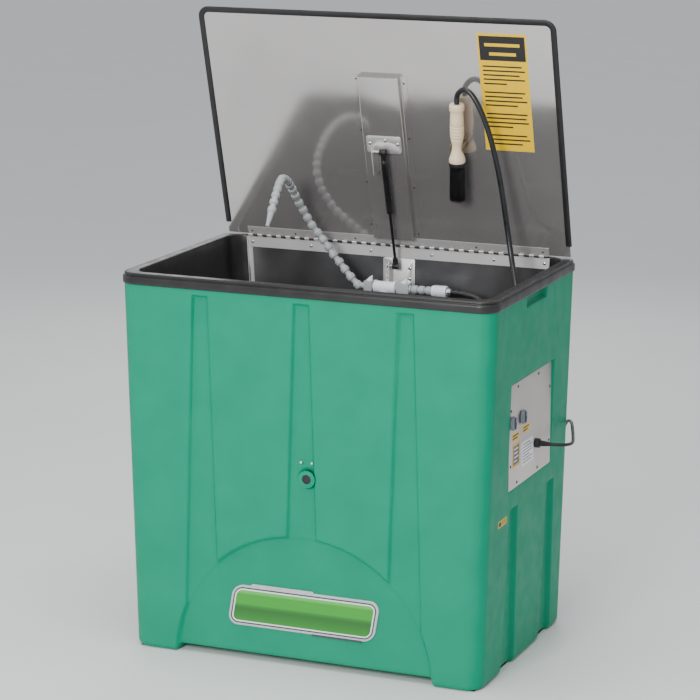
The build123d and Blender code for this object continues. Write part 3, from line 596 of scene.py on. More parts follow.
def evaluated(source: bpy.types.Object, name: str, finish: Finish, sharp: float = 40.0) -> bpy.types.Object:
    """Turn an object with modifiers into a plain mesh object, and remove the source.

    Args:
        source: The object with modifiers.
        name: The new object's name.
        finish: The finish.
        sharp: Edges over this angle, in degrees, stay sharp.

    Returns:
        The plain mesh object.
    """
    bpy.context.view_layer.update()
    depsgraph = bpy.context.evaluated_depsgraph_get()
    mesh = bpy.data.meshes.new_from_object(source.evaluated_get(depsgraph), depsgraph=depsgraph)
    bpy.data.objects.remove(source)
    mesh.name = name
    return as_object(name, mesh, finish, sharp)


def softened(node: str, finish: Finish, width: float, segments: int = 2, angle: float = 32.0) -> bpy.types.Object:
    """A copy of a CAD node with its hard edges rounded, standing in for it on the same body.

    Args:
        node: The CAD node's name.
        finish: The finish.
        width: The bevel's width in metres.
        segments: Steps across the bevel.
        angle: Edges over this angle, in degrees, are rounded.

    Returns:
        The piece, already on its body.
    """
    mesh = frame["nodes"][node].data.copy()
    work = bmesh.new()
    work.from_mesh(mesh)
    bmesh.ops.remove_doubles(work, verts=work.verts, dist=2e-6)
    bmesh.ops.dissolve_limit(work, angle_limit=math.radians(1.0), verts=work.verts, edges=work.edges)
    work.to_mesh(mesh)
    work.free()
    source = bpy.data.objects.new(node + "_source", mesh)
    bpy.context.scene.collection.objects.link(source)
    bevel = source.modifiers.new("round", "BEVEL")
    bevel.width = width
    bevel.segments = segments
    bevel.limit_method = "ANGLE"
    bevel.angle_limit = math.radians(angle)
    bevel.use_clamp_overlap = True
    bevel.harden_normals = False
    made = evaluated(source, node + "_soft", finish, sharp=50.0)
    return stand_in(made, frame["nodes"][node]["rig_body"], node)


def stand_in(made: bpy.types.Object, body: str, *nodes: str) -> bpy.types.Object:
    """Put a piece on a body in place of the CAD nodes it stands for, and report it.

    Args:
        made: The piece.
        body: The body it rides on.
        *nodes: The CAD nodes it takes the place of.

    Returns:
        The same piece.
    """
    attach(made, body)
    if nodes:
        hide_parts(*nodes)
    log.info("%s rides on %s, %d faces", made.name, body, len(made.data.polygons))
    return made


def detail(made: bpy.types.Object, body: str, slot: str) -> bpy.types.Object:
    """Put an added detail on a body, and report it."""
    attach(made, body)
    log.info("%s added on %s", made.name, body)
    return made


def dress(finish: Finish, *nodes: str) -> None:
    """Give CAD nodes a finish where they are."""
    for node in nodes:
        mesh = frame["nodes"][node].data
        mesh.materials.clear()
        mesh.materials.append(finish.material)
        log.info("%s dressed in %s", node, finish.value.name)


# ---- geometry nodes


class Tree:
    """A Geometry Nodes tree that takes points in and gives finished pieces out."""

    def __init__(self, name: str) -> None:
        """Start an empty tree with a geometry input and output."""
        self.group = bpy.data.node_groups.new(name, "GeometryNodeTree")
        self.group.interface.new_socket("Geometry", in_out="OUTPUT", socket_type="NodeSocketGeometry")
        self.group.interface.new_socket("Geometry", in_out="INPUT", socket_type="NodeSocketGeometry")
        self.start = self.group.nodes.new("NodeGroupInput")

    def size(self, name: str, default: float | Point | int) -> bpy.types.NodeSocket:
        """Add a named input for a size: a whole number, a length or a vector.

        Args:
            name: The input's name.
            default: Its default value.

        Returns:
            The input's socket inside the tree.
        """
        kind = {int: "NodeSocketInt", float: "NodeSocketFloat"}.get(type(default), "NodeSocketVector")
        socket = self.group.interface.new_socket(name, in_out="INPUT", socket_type=kind)
        socket.default_value = default
        return self.start.outputs[name]

    def thing(self, name: str, kind: str) -> bpy.types.NodeSocket:
        """Add a named input for an object or a material."""
        self.group.interface.new_socket(name, in_out="INPUT", socket_type=f"NodeSocket{kind}")
        return self.start.outputs[name]

    def add(self, kind: str, settings: dict | None = None, **inputs: object) -> bpy.types.Node:
        """Add a node.

        Args:
            kind: The node's type without its GeometryNode prefix, or its whole name.
            settings: Properties of the node itself.
            inputs: Values or sockets for its inputs; underscores stand for spaces.

        Returns:
            The node.
        """
        whole = kind if kind.startswith(("Function", "Shader", "Geometry")) else "GeometryNode" + kind
        node = self.group.nodes.new(whole)
        for name, value in (settings or {}).items():
            setattr(node, name, value)
        for name, value in inputs.items():
            socket = next(s for s in node.inputs if s.name == name.replace("_", " ") and s.enabled)
            if isinstance(value, bpy.types.NodeSocket):
                self.group.links.new(value, socket)
            else:
                socket.default_value = value
        return node

    def finish(self, geometry: bpy.types.NodeSocket) -> bpy.types.NodeTree:
        """End the tree in Realize Instances and Set Material.

        Args:
            geometry: The socket that ends the tree.

        Returns:
            The finished tree.
        """
        material = self.thing("Material", "Material")
        real = self.add("RealizeInstances", Geometry=geometry)
        painted = self.add("SetMaterial", Geometry=real.outputs["Geometry"], Material=material)
        end = self.group.nodes.new("NodeGroupOutput")
        self.group.links.new(painted.outputs["Geometry"], end.inputs["Geometry"])
        return self.group


def grown(name: str, points: Sequence[Sequence[float]], edges: Sequence[tuple[int, int]],
          faces: Sequence[Sequence[int]], tree: bpy.types.NodeTree, values: dict[str, object],
          finish: Finish, sharp: float = 40.0) -> bpy.types.Object:
    """Run a tree on a base mesh and keep the result as a plain mesh object.

    Args:
        name: The object's name.
        points: The base mesh's points.
        edges: Its edges.
        faces: Its faces.
        tree: The Geometry Nodes tree.
        values: The tree's inputs, by name.
        finish: The finish, also given to the tree's Material input.
        sharp: Edges over this angle stay sharp.

    Returns:
        The object.
    """
    mesh = bpy.data.meshes.new(name + "_base")
    mesh.from_pydata([tuple(p) for p in points], list(edges), list(faces))
    base = bpy.data.objects.new(name + "_base", mesh)
    bpy.context.scene.collection.objects.link(base)
    modifier = base.modifiers.new("shape", "NODES")
    modifier.node_group = tree
    settings = {**values, "Material": finish.material}
    for item in tree.interface.items_tree:
        if item.item_type == "SOCKET" and item.in_out == "INPUT" and item.name in settings:
            modifier[item.identifier] = settings[item.name]
    return evaluated(base, name, finish, sharp)


def screw_tree() -> bpy.types.NodeTree:
    """Pan-head screws with a cross recess, one at each point, all facing one way."""
    tree = Tree("screws")
    radius, height, facing = tree.size("Head Radius", 0.005), tree.size("Head Height", 0.002), \
        tree.size("Facing", (0.0, -1.0, 0.0))
    head = tree.add("MeshUVSphere", Segments=24, Rings=12, Radius=1.0).outputs["Mesh"]
    scale = tree.add("ShaderNodeCombineXYZ", X=radius, Y=radius, Z=height).outputs["Vector"]
    head = tree.add("Transform", Geometry=head, Scale=scale).outputs["Geometry"]
    wide = tree.add("ShaderNodeMath", {"operation": "MULTIPLY"}).outputs[0]
    for socket, value in zip(wide.node.inputs, (radius, 0.9)):
        if isinstance(value, float):
            socket.default_value = value
        else:
            tree.group.links.new(value, socket)
    narrow = tree.add("ShaderNodeMath", {"operation": "MULTIPLY"}).outputs[0]
    tree.group.links.new(radius, narrow.node.inputs[0])
    narrow.node.inputs[1].default_value = 0.2
    cuts = []
    for x, y in ((wide, narrow), (narrow, wide)):
        size = tree.add("ShaderNodeCombineXYZ", X=x, Y=y, Z=height).outputs["Vector"]
        lift = tree.add("ShaderNodeCombineXYZ", X=0.0, Y=0.0, Z=height).outputs["Vector"]
        bar = tree.add("MeshCube", Size=size).outputs["Mesh"]
        cuts.append(tree.add("Transform", Geometry=bar, Translation=lift).outputs["Geometry"])
    for cut in cuts:
        boolean = tree.add("MeshBoolean", {"operation": "DIFFERENCE"}, Mesh_1=head)
        tree.group.links.new(cut, boolean.inputs["Mesh 2"])
        head = boolean.outputs["Mesh"]
    turn = tree.add("FunctionNodeAlignRotationToVector", {"axis": "Z"}, Vector=facing).outputs["Rotation"]
    placed = tree.add("InstanceOnPoints", Points=tree.start.outputs["Geometry"], Instance=head, Rotation=turn)
    return tree.finish(placed.outputs["Instances"])


def dab_tree() -> bpy.types.NodeTree:
    """Low round dabs, such as spot welds, one at each point, all facing one way."""
    tree = Tree("dabs")
    radius, height, facing = tree.size("Radius", 0.003), tree.size("Height", 0.0006), \
        tree.size("Facing", (0.0, -1.0, 0.0))
    dome = tree.add("MeshUVSphere", Segments=18, Rings=8, Radius=1.0).outputs["Mesh"]
    scale = tree.add("ShaderNodeCombineXYZ", X=radius, Y=radius, Z=height).outputs["Vector"]
    turn = tree.add("FunctionNodeAlignRotationToVector", {"axis": "Z"}, Vector=facing).outputs["Rotation"]
    placed = tree.add("InstanceOnPoints", Points=tree.start.outputs["Geometry"], Instance=dome, Rotation=turn,
                      Scale=scale)
    return tree.finish(placed.outputs["Instances"])


def bristle_tree() -> bpy.types.NodeTree:
    """Bristles standing on a disc, spread and leaning a little at random from a fixed seed."""
    tree = Tree("bristles")
    density, length, thick = tree.size("Density", 200000.0), tree.size("Length", 0.1), tree.size("Thickness", 0.0008)
    facing, seed = tree.size("Facing", (0.0, 0.0, -1.0)), tree.size("Seed", 7)
    spread = tree.add("DistributePointsOnFaces", Mesh=tree.start.outputs["Geometry"], Density=density, Seed=seed)
    hair = tree.add("MeshCone", {"fill_type": "NONE"}, Vertices=5, Radius_Top=0.25, Radius_Bottom=1.0, Depth=1.0)
    scale = tree.add("ShaderNodeCombineXYZ", X=thick, Y=thick, Z=length).outputs["Vector"]
    hair = tree.add("Transform", Geometry=hair.outputs["Mesh"], Scale=scale).outputs["Geometry"]
    lean = tree.add("FunctionNodeRandomValue", {"data_type": "FLOAT_VECTOR"}, Seed=seed,
                    Min=(-0.025, -0.025, -0.025), Max=(0.025, 0.025, 0.025)).outputs["Value"]
    mixed = tree.add("ShaderNodeVectorMath", {"operation": "ADD"})
    tree.group.links.new(facing, mixed.inputs[0])
    tree.group.links.new(lean, mixed.inputs[1])
    turn = tree.add("FunctionNodeAlignRotationToVector", {"axis": "Z"}, Vector=mixed.outputs["Vector"])
    trim = tree.add("FunctionNodeRandomValue", {"data_type": "FLOAT"}, Seed=seed)
    low, high = [s for s in trim.inputs if s.enabled and s.name in ("Min", "Max")]
    low.default_value, high.default_value = 0.9, 1.0
    value = next(s for s in trim.outputs if s.enabled)
    placed = tree.add("InstanceOnPoints", Points=spread.outputs["Points"], Instance=hair,
                      Rotation=turn.outputs["Rotation"], Scale=value)
    return tree.finish(placed.outputs["Instances"])


def bar_tree() -> bpy.types.NodeTree:
    """A row of round bars lying along Y, evenly spaced along X from the first point."""
    tree = Tree("bars")
    count, pitch = tree.size("Count", 30), tree.size("Pitch", 0.03)
    radius, length = tree.size("Radius", 0.002), tree.size("Length", 0.58)
    step = tree.add("ShaderNodeCombineXYZ", X=pitch, Y=0.0, Z=0.0).outputs["Vector"]
    row = tree.add("MeshLine", {"mode": "OFFSET"}, Count=count, Offset=step).outputs["Mesh"]
    bar = tree.add("MeshCylinder", Vertices=10, Radius=radius, Depth=length).outputs["Mesh"]
    laid = tree.add("Transform", Geometry=bar, Rotation=(math.pi / 2, 0.0, 0.0)).outputs["Geometry"]
    bars = tree.add("InstanceOnPoints", Points=row, Instance=laid).outputs["Instances"]
    placed = tree.add("InstanceOnPoints", Points=tree.start.outputs["Geometry"], Instance=bars)
    return tree.finish(placed.outputs["Instances"])


def screws(name: str, places: Sequence[Point], facing: Point, radius: float, height: float, finish: Finish,
           body: str, *nodes: str) -> bpy.types.Object:
    """Cross-recess screws at places on one face, standing in for the CAD fasteners."""
    values = {"Head Radius": radius, "Head Height": height, "Facing": facing}
    made = grown(name, places, (), (), trees["screws"], values, finish, sharp=30.0)
    return stand_in(made, body, *nodes)


trees: dict[str, bpy.types.NodeTree] = {}

# ---- the lid's own directions


@dataclass(frozen=True)
class LidPlane:
    """Places on the open lid: sideways, up the lid, and out of it towards the user."""

    hinge: Point = (0.0, 0.3215, 1.048)
    tilt: float = math.radians(15.6)

    @property
    def out(self) -> Vector:
        """The way out of the lid's inner face."""
        return Vector((0.0, -math.cos(self.tilt), -math.sin(self.tilt)))

    @property
    def up(self) -> Vector:
        """The way up the lid from the hinge."""
        return Vector((0.0, -math.sin(self.tilt), math.cos(self.tilt)))

    def at(self, x: float, up: float, out: float) -> Vector:
        """The world place of a point given on the lid, in metres."""
        return Vector(self.hinge) + Vector((x, 0, 0)) + self.up * up + self.out * out


LID = LidPlane()


# ---- studio


@dataclass
class Studio:
    """The camera, lights and floor round the machine."""

    target: Point = (-0.004, 0.0, 0.809)
    azimuth: float = 22.69
    elevation: float = 12.49
    roll: float = 0.12
    distance: float = 7.296
    lens: float = 136.85

    def build(self) -> None:
        """Set up the view, the light and the floor."""
        self.add_camera()
        self.add_light("key", (0.1, -5.2, 2.7), (0.0, 0.0, 0.75), 1.6, 190.0)
        self.add_light("fill", (-4.4, -1.6, 2.2), (0.0, 0.0, 0.7), 2.4, 22.0)
        self.add_light("top", (0.2, -0.9, 4.2), (0.0, 0.1, 0.9), 2.6, 80.0)
        self.add_light("back", (-1.5, 4.0, 2.8), (0.0, 0.2, 1.0), 2.5, 36.0)
        self.add_world()
        self.add_floor()

    def add_camera(self) -> None:
        """Place the camera by its angles and distance from the target."""
        a, e = math.radians(self.azimuth), math.radians(self.elevation)
        back = Vector((math.sin(a) * math.cos(e), -math.cos(a) * math.cos(e), math.sin(e)))
        data = bpy.data.cameras.new("camera")
        data.lens, data.sensor_width = self.lens, 36.0
        camera = bpy.data.objects.new("camera", data)
        bpy.context.scene.collection.objects.link(camera)
        turn = (-back).to_track_quat("-Z", "Y").to_matrix() @ Matrix.Rotation(math.radians(self.roll), 3, "Z")
        camera.matrix_world = Matrix.Translation(Vector(self.target) + back * self.distance) @ turn.to_4x4()
        bpy.context.scene.camera = camera

    def add_light(self, name: str, place: Point, aim: Point, size: float, power: float) -> None:
        """Add a soft square light aimed at a point.

        Args:
            name: The light's name.
            place: Where it stands.
            aim: What it points at.
            size: Side of the square in metres.
            power: Power in watts.
        """
        data = bpy.data.lights.new(name, "AREA")
        data.size, data.energy = size, power
        light = bpy.data.objects.new(name, data)
        light.location = place
        light.rotation_mode = "QUATERNION"
        light.rotation_quaternion = (Vector(aim) - Vector(place)).to_track_quat("-Z", "Y")
        bpy.context.scene.collection.objects.link(light)

    def add_world(self) -> None:
        """Fill the room with pale, even light."""
        world = bpy.data.worlds.new("studio")
        world.use_nodes = True
        background = world.node_tree.nodes["Background"]
        background.inputs["Color"].default_value = (0.95, 0.97, 1.0, 1.0)
        background.inputs["Strength"].default_value = 0.62
        bpy.context.scene.world = world

    def add_floor(self) -> None:
        """Lay a wide pale floor under the machine."""
        mesh = bpy.data.meshes.new("floor")
        reach = 30.0
        mesh.from_pydata([(-reach, -reach, 0), (reach, -reach, 0), (reach, reach, 0), (-reach, reach, 0)], [],
                         [(0, 1, 2, 3)])
        floor = bpy.data.objects.new("floor", mesh)
        bpy.context.scene.collection.objects.link(floor)
        shader = Shader("studio_floor", (0.86, 0.86, 0.86), 0.6)
        shader.tint(shader.noise(3.0, 3.0), ((0.3, (0.85, 0.85, 0.85)), (0.7, (0.87, 0.87, 0.87))))
        mesh.materials.append(shader.material)
        floor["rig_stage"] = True


# ---- cord and hose


def smooth_line(points: Sequence[Sequence[float]], name: str) -> bpy.types.Object:
    """A curve object of one open NURBS spline through a route's control points.

    Args:
        points: Control points along the route.
        name: The curve's name.

    Returns:
        The curve object.
    """
    data = bpy.data.curves.new(name, "CURVE")
    data.dimensions = "3D"
    data.resolution_u = 12
    spline = data.splines.new("NURBS")
    spline.points.add(len(points) - 1)
    for knot, point in zip(spline.points, points):
        knot.co = (*point, 1.0)
    spline.order_u = 3
    spline.use_endpoint_u = True
    made = bpy.data.objects.new(name, data)
    bpy.context.scene.collection.objects.link(made)
    return made


def line_points(curve: bpy.types.Object) -> list[Vector]:
    """The points along a curve's line."""
    mesh = bpy.data.meshes.new_from_object(curve)
    points = [v.co.copy() for v in mesh.vertices]
    bpy.data.meshes.remove(mesh)
    return points


@dataclass
class PowerCord:
    """Mains cord from the panel's gland round the rear corner to a coil and plug behind the cabinet."""

    diameter: float = 0.009
    exit: Point = (0.562, 0.042, 0.59)
    route: list[Point] = field(default_factory=lambda: [
        (0.562, 0.042, 0.59), (0.586, 0.042, 0.59), (0.606, 0.072, 0.586), (0.602, 0.122, 0.579),
        (0.58, 0.192, 0.575), (0.56, 0.248, 0.582), (0.536, 0.312, 0.59), (0.503, 0.368, 0.576),
        (0.478, 0.392, 0.52), (0.465, 0.392, 0.44), (0.459, 0.386, 0.345), (0.456, 0.384, 0.245),
        (0.451, 0.388, 0.15), (0.438, 0.398, 0.075), (0.415, 0.404, 0.025), (0.378, 0.398, 0.007),
        (0.335, 0.382, 0.005), (0.29, 0.376, 0.0085),
    ])
    coil_centre: tuple[float, float] = (0.29, 0.425)
    coil_radius: float = 0.049
    turns: int = 4
    length: float = 2.3

    def coil(self) -> list[Point]:
        """Turns that lie beside and on each other, ending towards the plug."""
        points = []
        x, y = self.coil_centre
        steps = 14
        for k in range(1, steps * self.turns + 1):
            turn = k / steps
            angle = math.radians(-90.0) - 2 * math.pi * turn
            layer = int(turn) % 2
            radius = self.coil_radius + (0.0045 if layer else -0.0045)
            z = 0.0049 + 0.0088 * min(1.0, max(0.0, turn - 1.6) / 0.8)
            points.append((x + radius * math.cos(angle), y + radius * math.sin(angle), z))
        return points

    def build(self) -> None:
        tail = [(0.262, 0.371, 0.0142), (0.24, 0.392, 0.0142), (0.236, 0.415, 0.0144), (0.2305, 0.425, 0.0145)]
        cord = smooth_line(self.route + self.coil() + tail, "mains_cord")
        cord.data.bevel_depth = self.diameter / 2
        cord.data.bevel_resolution = 6
        cord.data.use_fill_caps = True
        cord.data.materials.append(Finish.CORD_RUBBER.material)
        stand_in_curve(cord, "tank", "power_cord", "power_cord_coil")
        plug = softened("power_plug", Finish.PLUG_BLACK, 0.0008)
        blades = [block(f"blade_{k}", (0.168, 0.425 + y0, 0.0085), (0.187, 0.425 + y1, 0.015), 0.0003, Finish.ZINC)
                  for k, (y0, y1) in enumerate(((0.0054, 0.0073), (-0.0073, -0.0054)))]
        detail(joined("plug_blades", blades), "tank", "bright_hardware")
        gland = turned("cord_strain_relief", (0.5345, 0.042, 0.59), (1, 0, 0), self.relief_profile(),
                       Finish.CORD_RUBBER, sides=32)
        stand_in(gland, "tank", "strain_relief")

    def relief_profile(self) -> list[tuple[float, float]]:
        """Tapered sleeve with moulded ribs."""
        profile = [(0.0, 0.0045), (0.0, 0.0088)]
        for k in range(5):
            at = 0.0025 + 0.005 * k
            radius = 0.0088 - 0.0006 * k
            profile += [(at, radius), (at + 0.0006, radius - 0.0011), (at + 0.002, radius - 0.0011),
                        (at + 0.0026, radius - 0.0005)]
        return profile + [(0.0275, 0.006), (0.0278, 0.0046)]


def stand_in_curve(made: bpy.types.Object, body: str, *nodes: str) -> None:
    """Put a curve piece on a body in place of CAD nodes, and report it."""
    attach(made, body)
    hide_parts(*nodes)
    log.info("%s rides on %s", made.name, body)


@dataclass
class BrushHose:
    """Black hose from the manifold's coupler through the sink and up the lid to the brush."""

    diameter: float = 0.015
    sink_route: list[Point] = field(default_factory=lambda: [
        (0.199, 0.243, 0.941), (0.25, 0.243, 0.941), (0.306, 0.227, 0.92), (0.337, 0.18, 0.88),
        (0.34, 0.115, 0.843), (0.328, 0.045, 0.815), (0.322, -0.028, 0.8), (0.335, -0.098, 0.797),
        (0.38, -0.142, 0.797), (0.432, -0.132, 0.801), (0.463, -0.08, 0.814), (0.468, -0.012, 0.841),
        (0.462, 0.052, 0.883), (0.445, 0.108, 0.935), (0.418, 0.16, 0.992), (0.4055, 0.1775, 1.023),
        (0.393, 0.195, 1.054), (0.379, 0.207, 1.112), (0.369, 0.203, 1.18), (0.361, 0.193, 1.252),
        (0.351, 0.178, 1.325), (0.338, 0.164, 1.392), (0.33, 0.159, 1.419),
    ])
    seam: Point = (0.33, 0.159, 1.419)
    tail_route: list[Point] = field(default_factory=lambda: [
        (0.33, 0.159, 1.419), (0.322, 0.154, 1.446), (0.305, 0.1505, 1.483), (0.286, 0.15, 1.512),
        (0.263, 0.152, 1.524),
    ])

    def build(self, brush: "Brush", handle: bpy.types.Object) -> None:
        """Args:
            brush: The brush, for the place where the hose enters it.
            handle: The brush's handle, which is on the hose's far end; not used.
        """
        lower, lower_line = self.tube("wash_hose_lower", self.sink_route)
        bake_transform(lower)
        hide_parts("brush_hose_sink", "brush_hose_lid")
        tail_points = self.tail_route + [tuple(brush.at(0.312)), tuple(brush.at(0.284)),
                                         tuple(brush.at(0.258))]
        tail, tail_line = self.tube("wash_hose_tail", tail_points)
        tuple(brush.at(0.29))
        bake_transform(tail)
        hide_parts("brush_hose_tail")
        log.info("wash hose made in two lengths")

    def tube(self, name: str, route: Sequence[Point]) -> tuple[bpy.types.Object, list[Vector]]:
        """A round tube along a route's smooth line, and that line's points.

        Args:
            name: The tube's name.
            route: Control points along the line.

        Returns:
            The tube and its line's points.
        """
        line = smooth_line(route, name + "_line")
        points = line_points(line)
        bpy.data.objects.remove(line)
        radius = self.diameter / 2
        made = swept(name, points, lambda t: (radius * math.cos(t), radius * math.sin(t)), Finish.HOSE_RUBBER, sides=20)
        return made, points


# ---- cabinet


def rise(distance: np.ndarray, start: float, end: float) -> np.ndarray:
    """Smooth step from 0 at start to 1 at end."""
    t = np.clip((distance - start) / (end - start), 0.0, 1.0)
    return t * t * (3.0 - 2.0 * t)


@dataclass(frozen=True)
class Flute:
    """One tapered upright recess: its centre, half widths at the top and at the foot, and its height."""

    centre: float
    half_top: float
    half_low: float
    top: float
    low: float

    def half(self, z: np.ndarray) -> np.ndarray:
        """Half width at a height."""
        t = np.clip((self.top - z) / (self.top - self.low), 0.0, 1.2)
        return self.half_top + (self.half_low - self.half_top) * t

    def inside(self, across: np.ndarray, z: np.ndarray) -> np.ndarray:
        """Depth inside the outline, negative outside it; the left edge is steeper than the right."""
        half, place = self.half(z), across - self.centre
        return np.minimum(np.minimum((half + place) * 1.35, half - place), (self.top - z) * 1.2)


@dataclass
class Cabinet:
    """Rotation-moulded cabinet with soft flutes, an arch, side grooves and two runners."""

    half_w: float = 0.5335
    half_d: float = 0.344
    top: float = 1.018
    draft: float = 0.027
    corner: float = 0.045
    gap: float = 0.02
    runner: float = 0.372
    flute_depth: float = 0.011
    arch_depth: float = 0.014
    arch_radius: float = 0.376
    arch_z: float = -0.008
    groove_depth: float = 0.012
    pocket_x: float = 0.5188
    pocket: tuple[float, float, float] = (0.1745, 0.5005, 0.7945)
    notch: tuple[float, float, float] = (0.078, 0.988, 0.014)
    button: tuple[float, float] = (0.015, 0.529)
    front_flutes: tuple[Flute, ...] = tuple(Flute(x, 0.024, 0.053, 1.002, 0.1) for x in (-0.294, 0.0, 0.294))
    back_flutes: tuple[Flute, ...] = tuple(Flute(x, 0.024, 0.053, 0.74, -0.03) for x in (-0.294, 0.294))
    grooves: tuple[Flute, ...] = (Flute(-0.12, 0.033, 0.054, 0.45, -0.03), Flute(0.185, 0.029, 0.05, 0.45, -0.03))

    def build(self) -> None:
        """Make the skin in two pieces with seams on flat ground, and the underside."""
        front = self.skin("cabinet_front_skin", self.front_columns())
        rest = self.skin("cabinet_rear_skin", self.rear_columns())
        belly = self.belly()
        stand_in(front, "tank", "cabinet_shell")
        for piece in (rest, belly):
            detail(piece, "tank", "green_body")

    def heights(self) -> np.ndarray:
        """Row heights, closer where the mould changes quickly."""
        rows = [0.0, 0.001, 0.003, 0.006, 0.01, 0.015, 0.022, 0.03]
        rows += list(np.arange(0.036, self.top, 0.0052))
        rows += [0.4955, 0.4985, 0.5015, 0.5045, 0.7905, 0.7935, 0.7965, 0.7995, 0.9985, 1.0015, 1.0045, 0.9855,
                 self.top]
        return np.unique(np.round(rows, 4))

    def rails(self, flutes: Sequence[Flute], z: np.ndarray, end: float, spacing: float,
              extra: Sequence[float] = ()) -> np.ndarray:
        """Column places for every row, which follow the flutes' slanted edges.

        Args:
            flutes: The recesses on this wall.
            z: Row heights.
            end: Where the columns stop at each side.
            spacing: Widest gap between columns.
            extra: Fixed places that get columns of their own.

        Returns:
            An array of rows by columns.
        """
        offsets = (-0.007, -0.0035, 0.0, 0.003, 0.006, 0.009, 0.0125, 0.016)
        keys = [np.full_like(z, -end)]
        for f in sorted(flutes, key=lambda f: f.centre):
            half = f.half(z)
            keys += [f.centre - half + o for o in offsets]
            keys += [f.centre + half - o for o in reversed(offsets)]
        keys.append(np.full_like(z, end))
        for place in extra:
            slot = next(k for k in range(len(keys) - 1) if keys[k].mean() < place < keys[k + 1].mean())
            keys.insert(slot + 1, np.full_like(z, place))
        columns = []
        for a, b in zip(keys, keys[1:]):
            count = max(1, math.ceil(float(np.max(b - a)) / spacing))
            columns += [a + (b - a) * k / count for k in range(count)]
        columns.append(keys[-1])
        return np.stack(columns, axis=1)

    def wall_x(self, z: np.ndarray) -> np.ndarray:
        """Half width of the drafted cabinet at a height."""
        return self.half_w - self.draft * (1.0 - z / self.top)

    def columns_flat(self, side: str) -> tuple[np.ndarray, np.ndarray, np.ndarray]:
        """Base points, outward normals and recess depth of one flat wall, as rows by columns.

        Args:
            side: Which wall: front, back, left or right.

        Returns:
            Points, outward normals and depth.
        """
        z = self.heights()
        if side in ("front", "back"):
            reach = self.half_w - self.draft - self.corner
            sign = -1.0 if side == "front" else 1.0
            flutes = self.front_flutes if side == "front" else self.back_flutes
            extra = (-self.runner - 0.012, -self.runner, -self.runner + 0.012,
                     self.runner - 0.012, self.runner, self.runner + 0.012)
            across = self.rails(flutes, z, reach, 0.0056 if side == "front" else 0.009, extra)
            heights = np.repeat(z[:, None], across.shape[1], axis=1)
            wide = across * ((self.wall_x(heights) - self.corner) / reach)
            points = np.stack([wide, np.full_like(wide, sign * self.half_d), heights], axis=-1)
            normals = np.broadcast_to(np.array([0.0, sign, 0.0]), points.shape)
            depth = self.face_depth(side, wide, heights)
            order = slice(None) if side == "front" else slice(None, None, -1)
            return points[:, order], normals[:, order], depth[:, order]
        sign = 1.0 if side == "right" else -1.0
        edges = (-0.179, -0.1765, -0.1745, -0.1715, 0.1715, 0.1745, 0.1765, 0.179, -0.081, -0.078, -0.0755, 0.0755,
                 0.078, 0.081)
        across = self.rails(self.grooves, z, self.half_d - self.corner, 0.0068, sorted(edges))
        across = np.sort(across, axis=1)
        heights = np.repeat(z[:, None], across.shape[1], axis=1)
        points = np.stack([sign * self.wall_x(heights), across, heights], axis=-1)
        normals = np.broadcast_to(np.array([sign, 0.0, 0.0]), points.shape)
        depth = self.side_depth(side, across, heights)
        order = slice(None) if side == "right" else slice(None, None, -1)
        return points[:, order], normals[:, order], depth[:, order]

    def corner_block(self, sx: float, sy: float, turn: float) -> tuple[np.ndarray, np.ndarray, np.ndarray]:
        """Base points, normals and depth of one upright rounded corner; turn is where its arc starts.

        Args:
            sx: -1 for the left corner, 1 for the right.
            sy: -1 for the front, 1 for the back.
            turn: Where its arc starts, in degrees.

        Returns:
            Points, outward normals and depth.
        """
        z = self.heights()
        angles = np.radians(turn + np.linspace(0, 90, 11)[1:-1])
        cx = sx * (self.wall_x(z)[:, None] - self.corner)
        x = cx + self.corner * np.cos(angles)[None, :]
        y = np.broadcast_to(sy * (self.half_d - self.corner) + self.corner * np.sin(angles)[None, :], x.shape)
        heights = np.repeat(z[:, None], len(angles), axis=1)
        points = np.stack([x, y, heights], axis=-1)
        normals = np.broadcast_to(np.stack([np.cos(angles), np.sin(angles), np.zeros_like(angles)], axis=-1),
                                  points.shape)
        return points, normals, np.zeros(x.shape)

    def face_depth(self, side: str, x: np.ndarray, z: np.ndarray) -> np.ndarray:
        """How far the front or back wall is sunk in.

        Args:
            side: Front or back.
            x: Distance from the middle.
            z: Height.

        Returns:
            The depth at each point.
        """
        depth = np.zeros_like(x)
        for flute in self.front_flutes if side == "front" else self.back_flutes:
            depth = np.maximum(depth, self.flute_depth * rise(flute.inside(x, z), -0.0015, 0.0095))
        if side == "front":
            inside = self.arch_radius - np.hypot(x, z - self.arch_z)
            depth = np.maximum(depth, self.arch_depth * rise(inside, -0.002, 0.01))
            ring = np.hypot(x - self.button[0], z - self.button[1])
            depth = depth + 0.005 * rise(-ring, -0.03, -0.0225) + 0.022 * rise(-ring, -0.019, -0.015)
        return depth

    def side_depth(self, side: str, y: np.ndarray, z: np.ndarray) -> np.ndarray:
        """How far a side wall is sunk in.

        Args:
            side: Left or right.
            y: Distance from the middle.
            z: Height.

        Returns:
            The depth at each point.
        """
        depth = np.zeros_like(y)
        for groove in self.grooves:
            depth = np.maximum(depth, self.groove_depth * rise(groove.inside(y, z), -0.002, 0.01))
        half, low, deep = self.notch
        inside = np.minimum(half - np.abs(y), z - low)
        depth = np.maximum(depth, deep * rise(inside, -0.003, 0.004))
        if side == "right":
            half, low, high = self.pocket
            inside = np.minimum(half - np.abs(y), np.minimum(z - low, high - z))
            depth = np.maximum(depth, (self.wall_x(z) - self.pocket_x) * rise(inside, -0.0025, 0.002))
        return depth

    def floor_under(self, x: np.ndarray) -> np.ndarray:
        """Height of the underside: 0 under the runners, the gap's height between them."""
        return self.gap * rise(-np.abs(x), -self.runner - 0.006, -self.runner + 0.006)

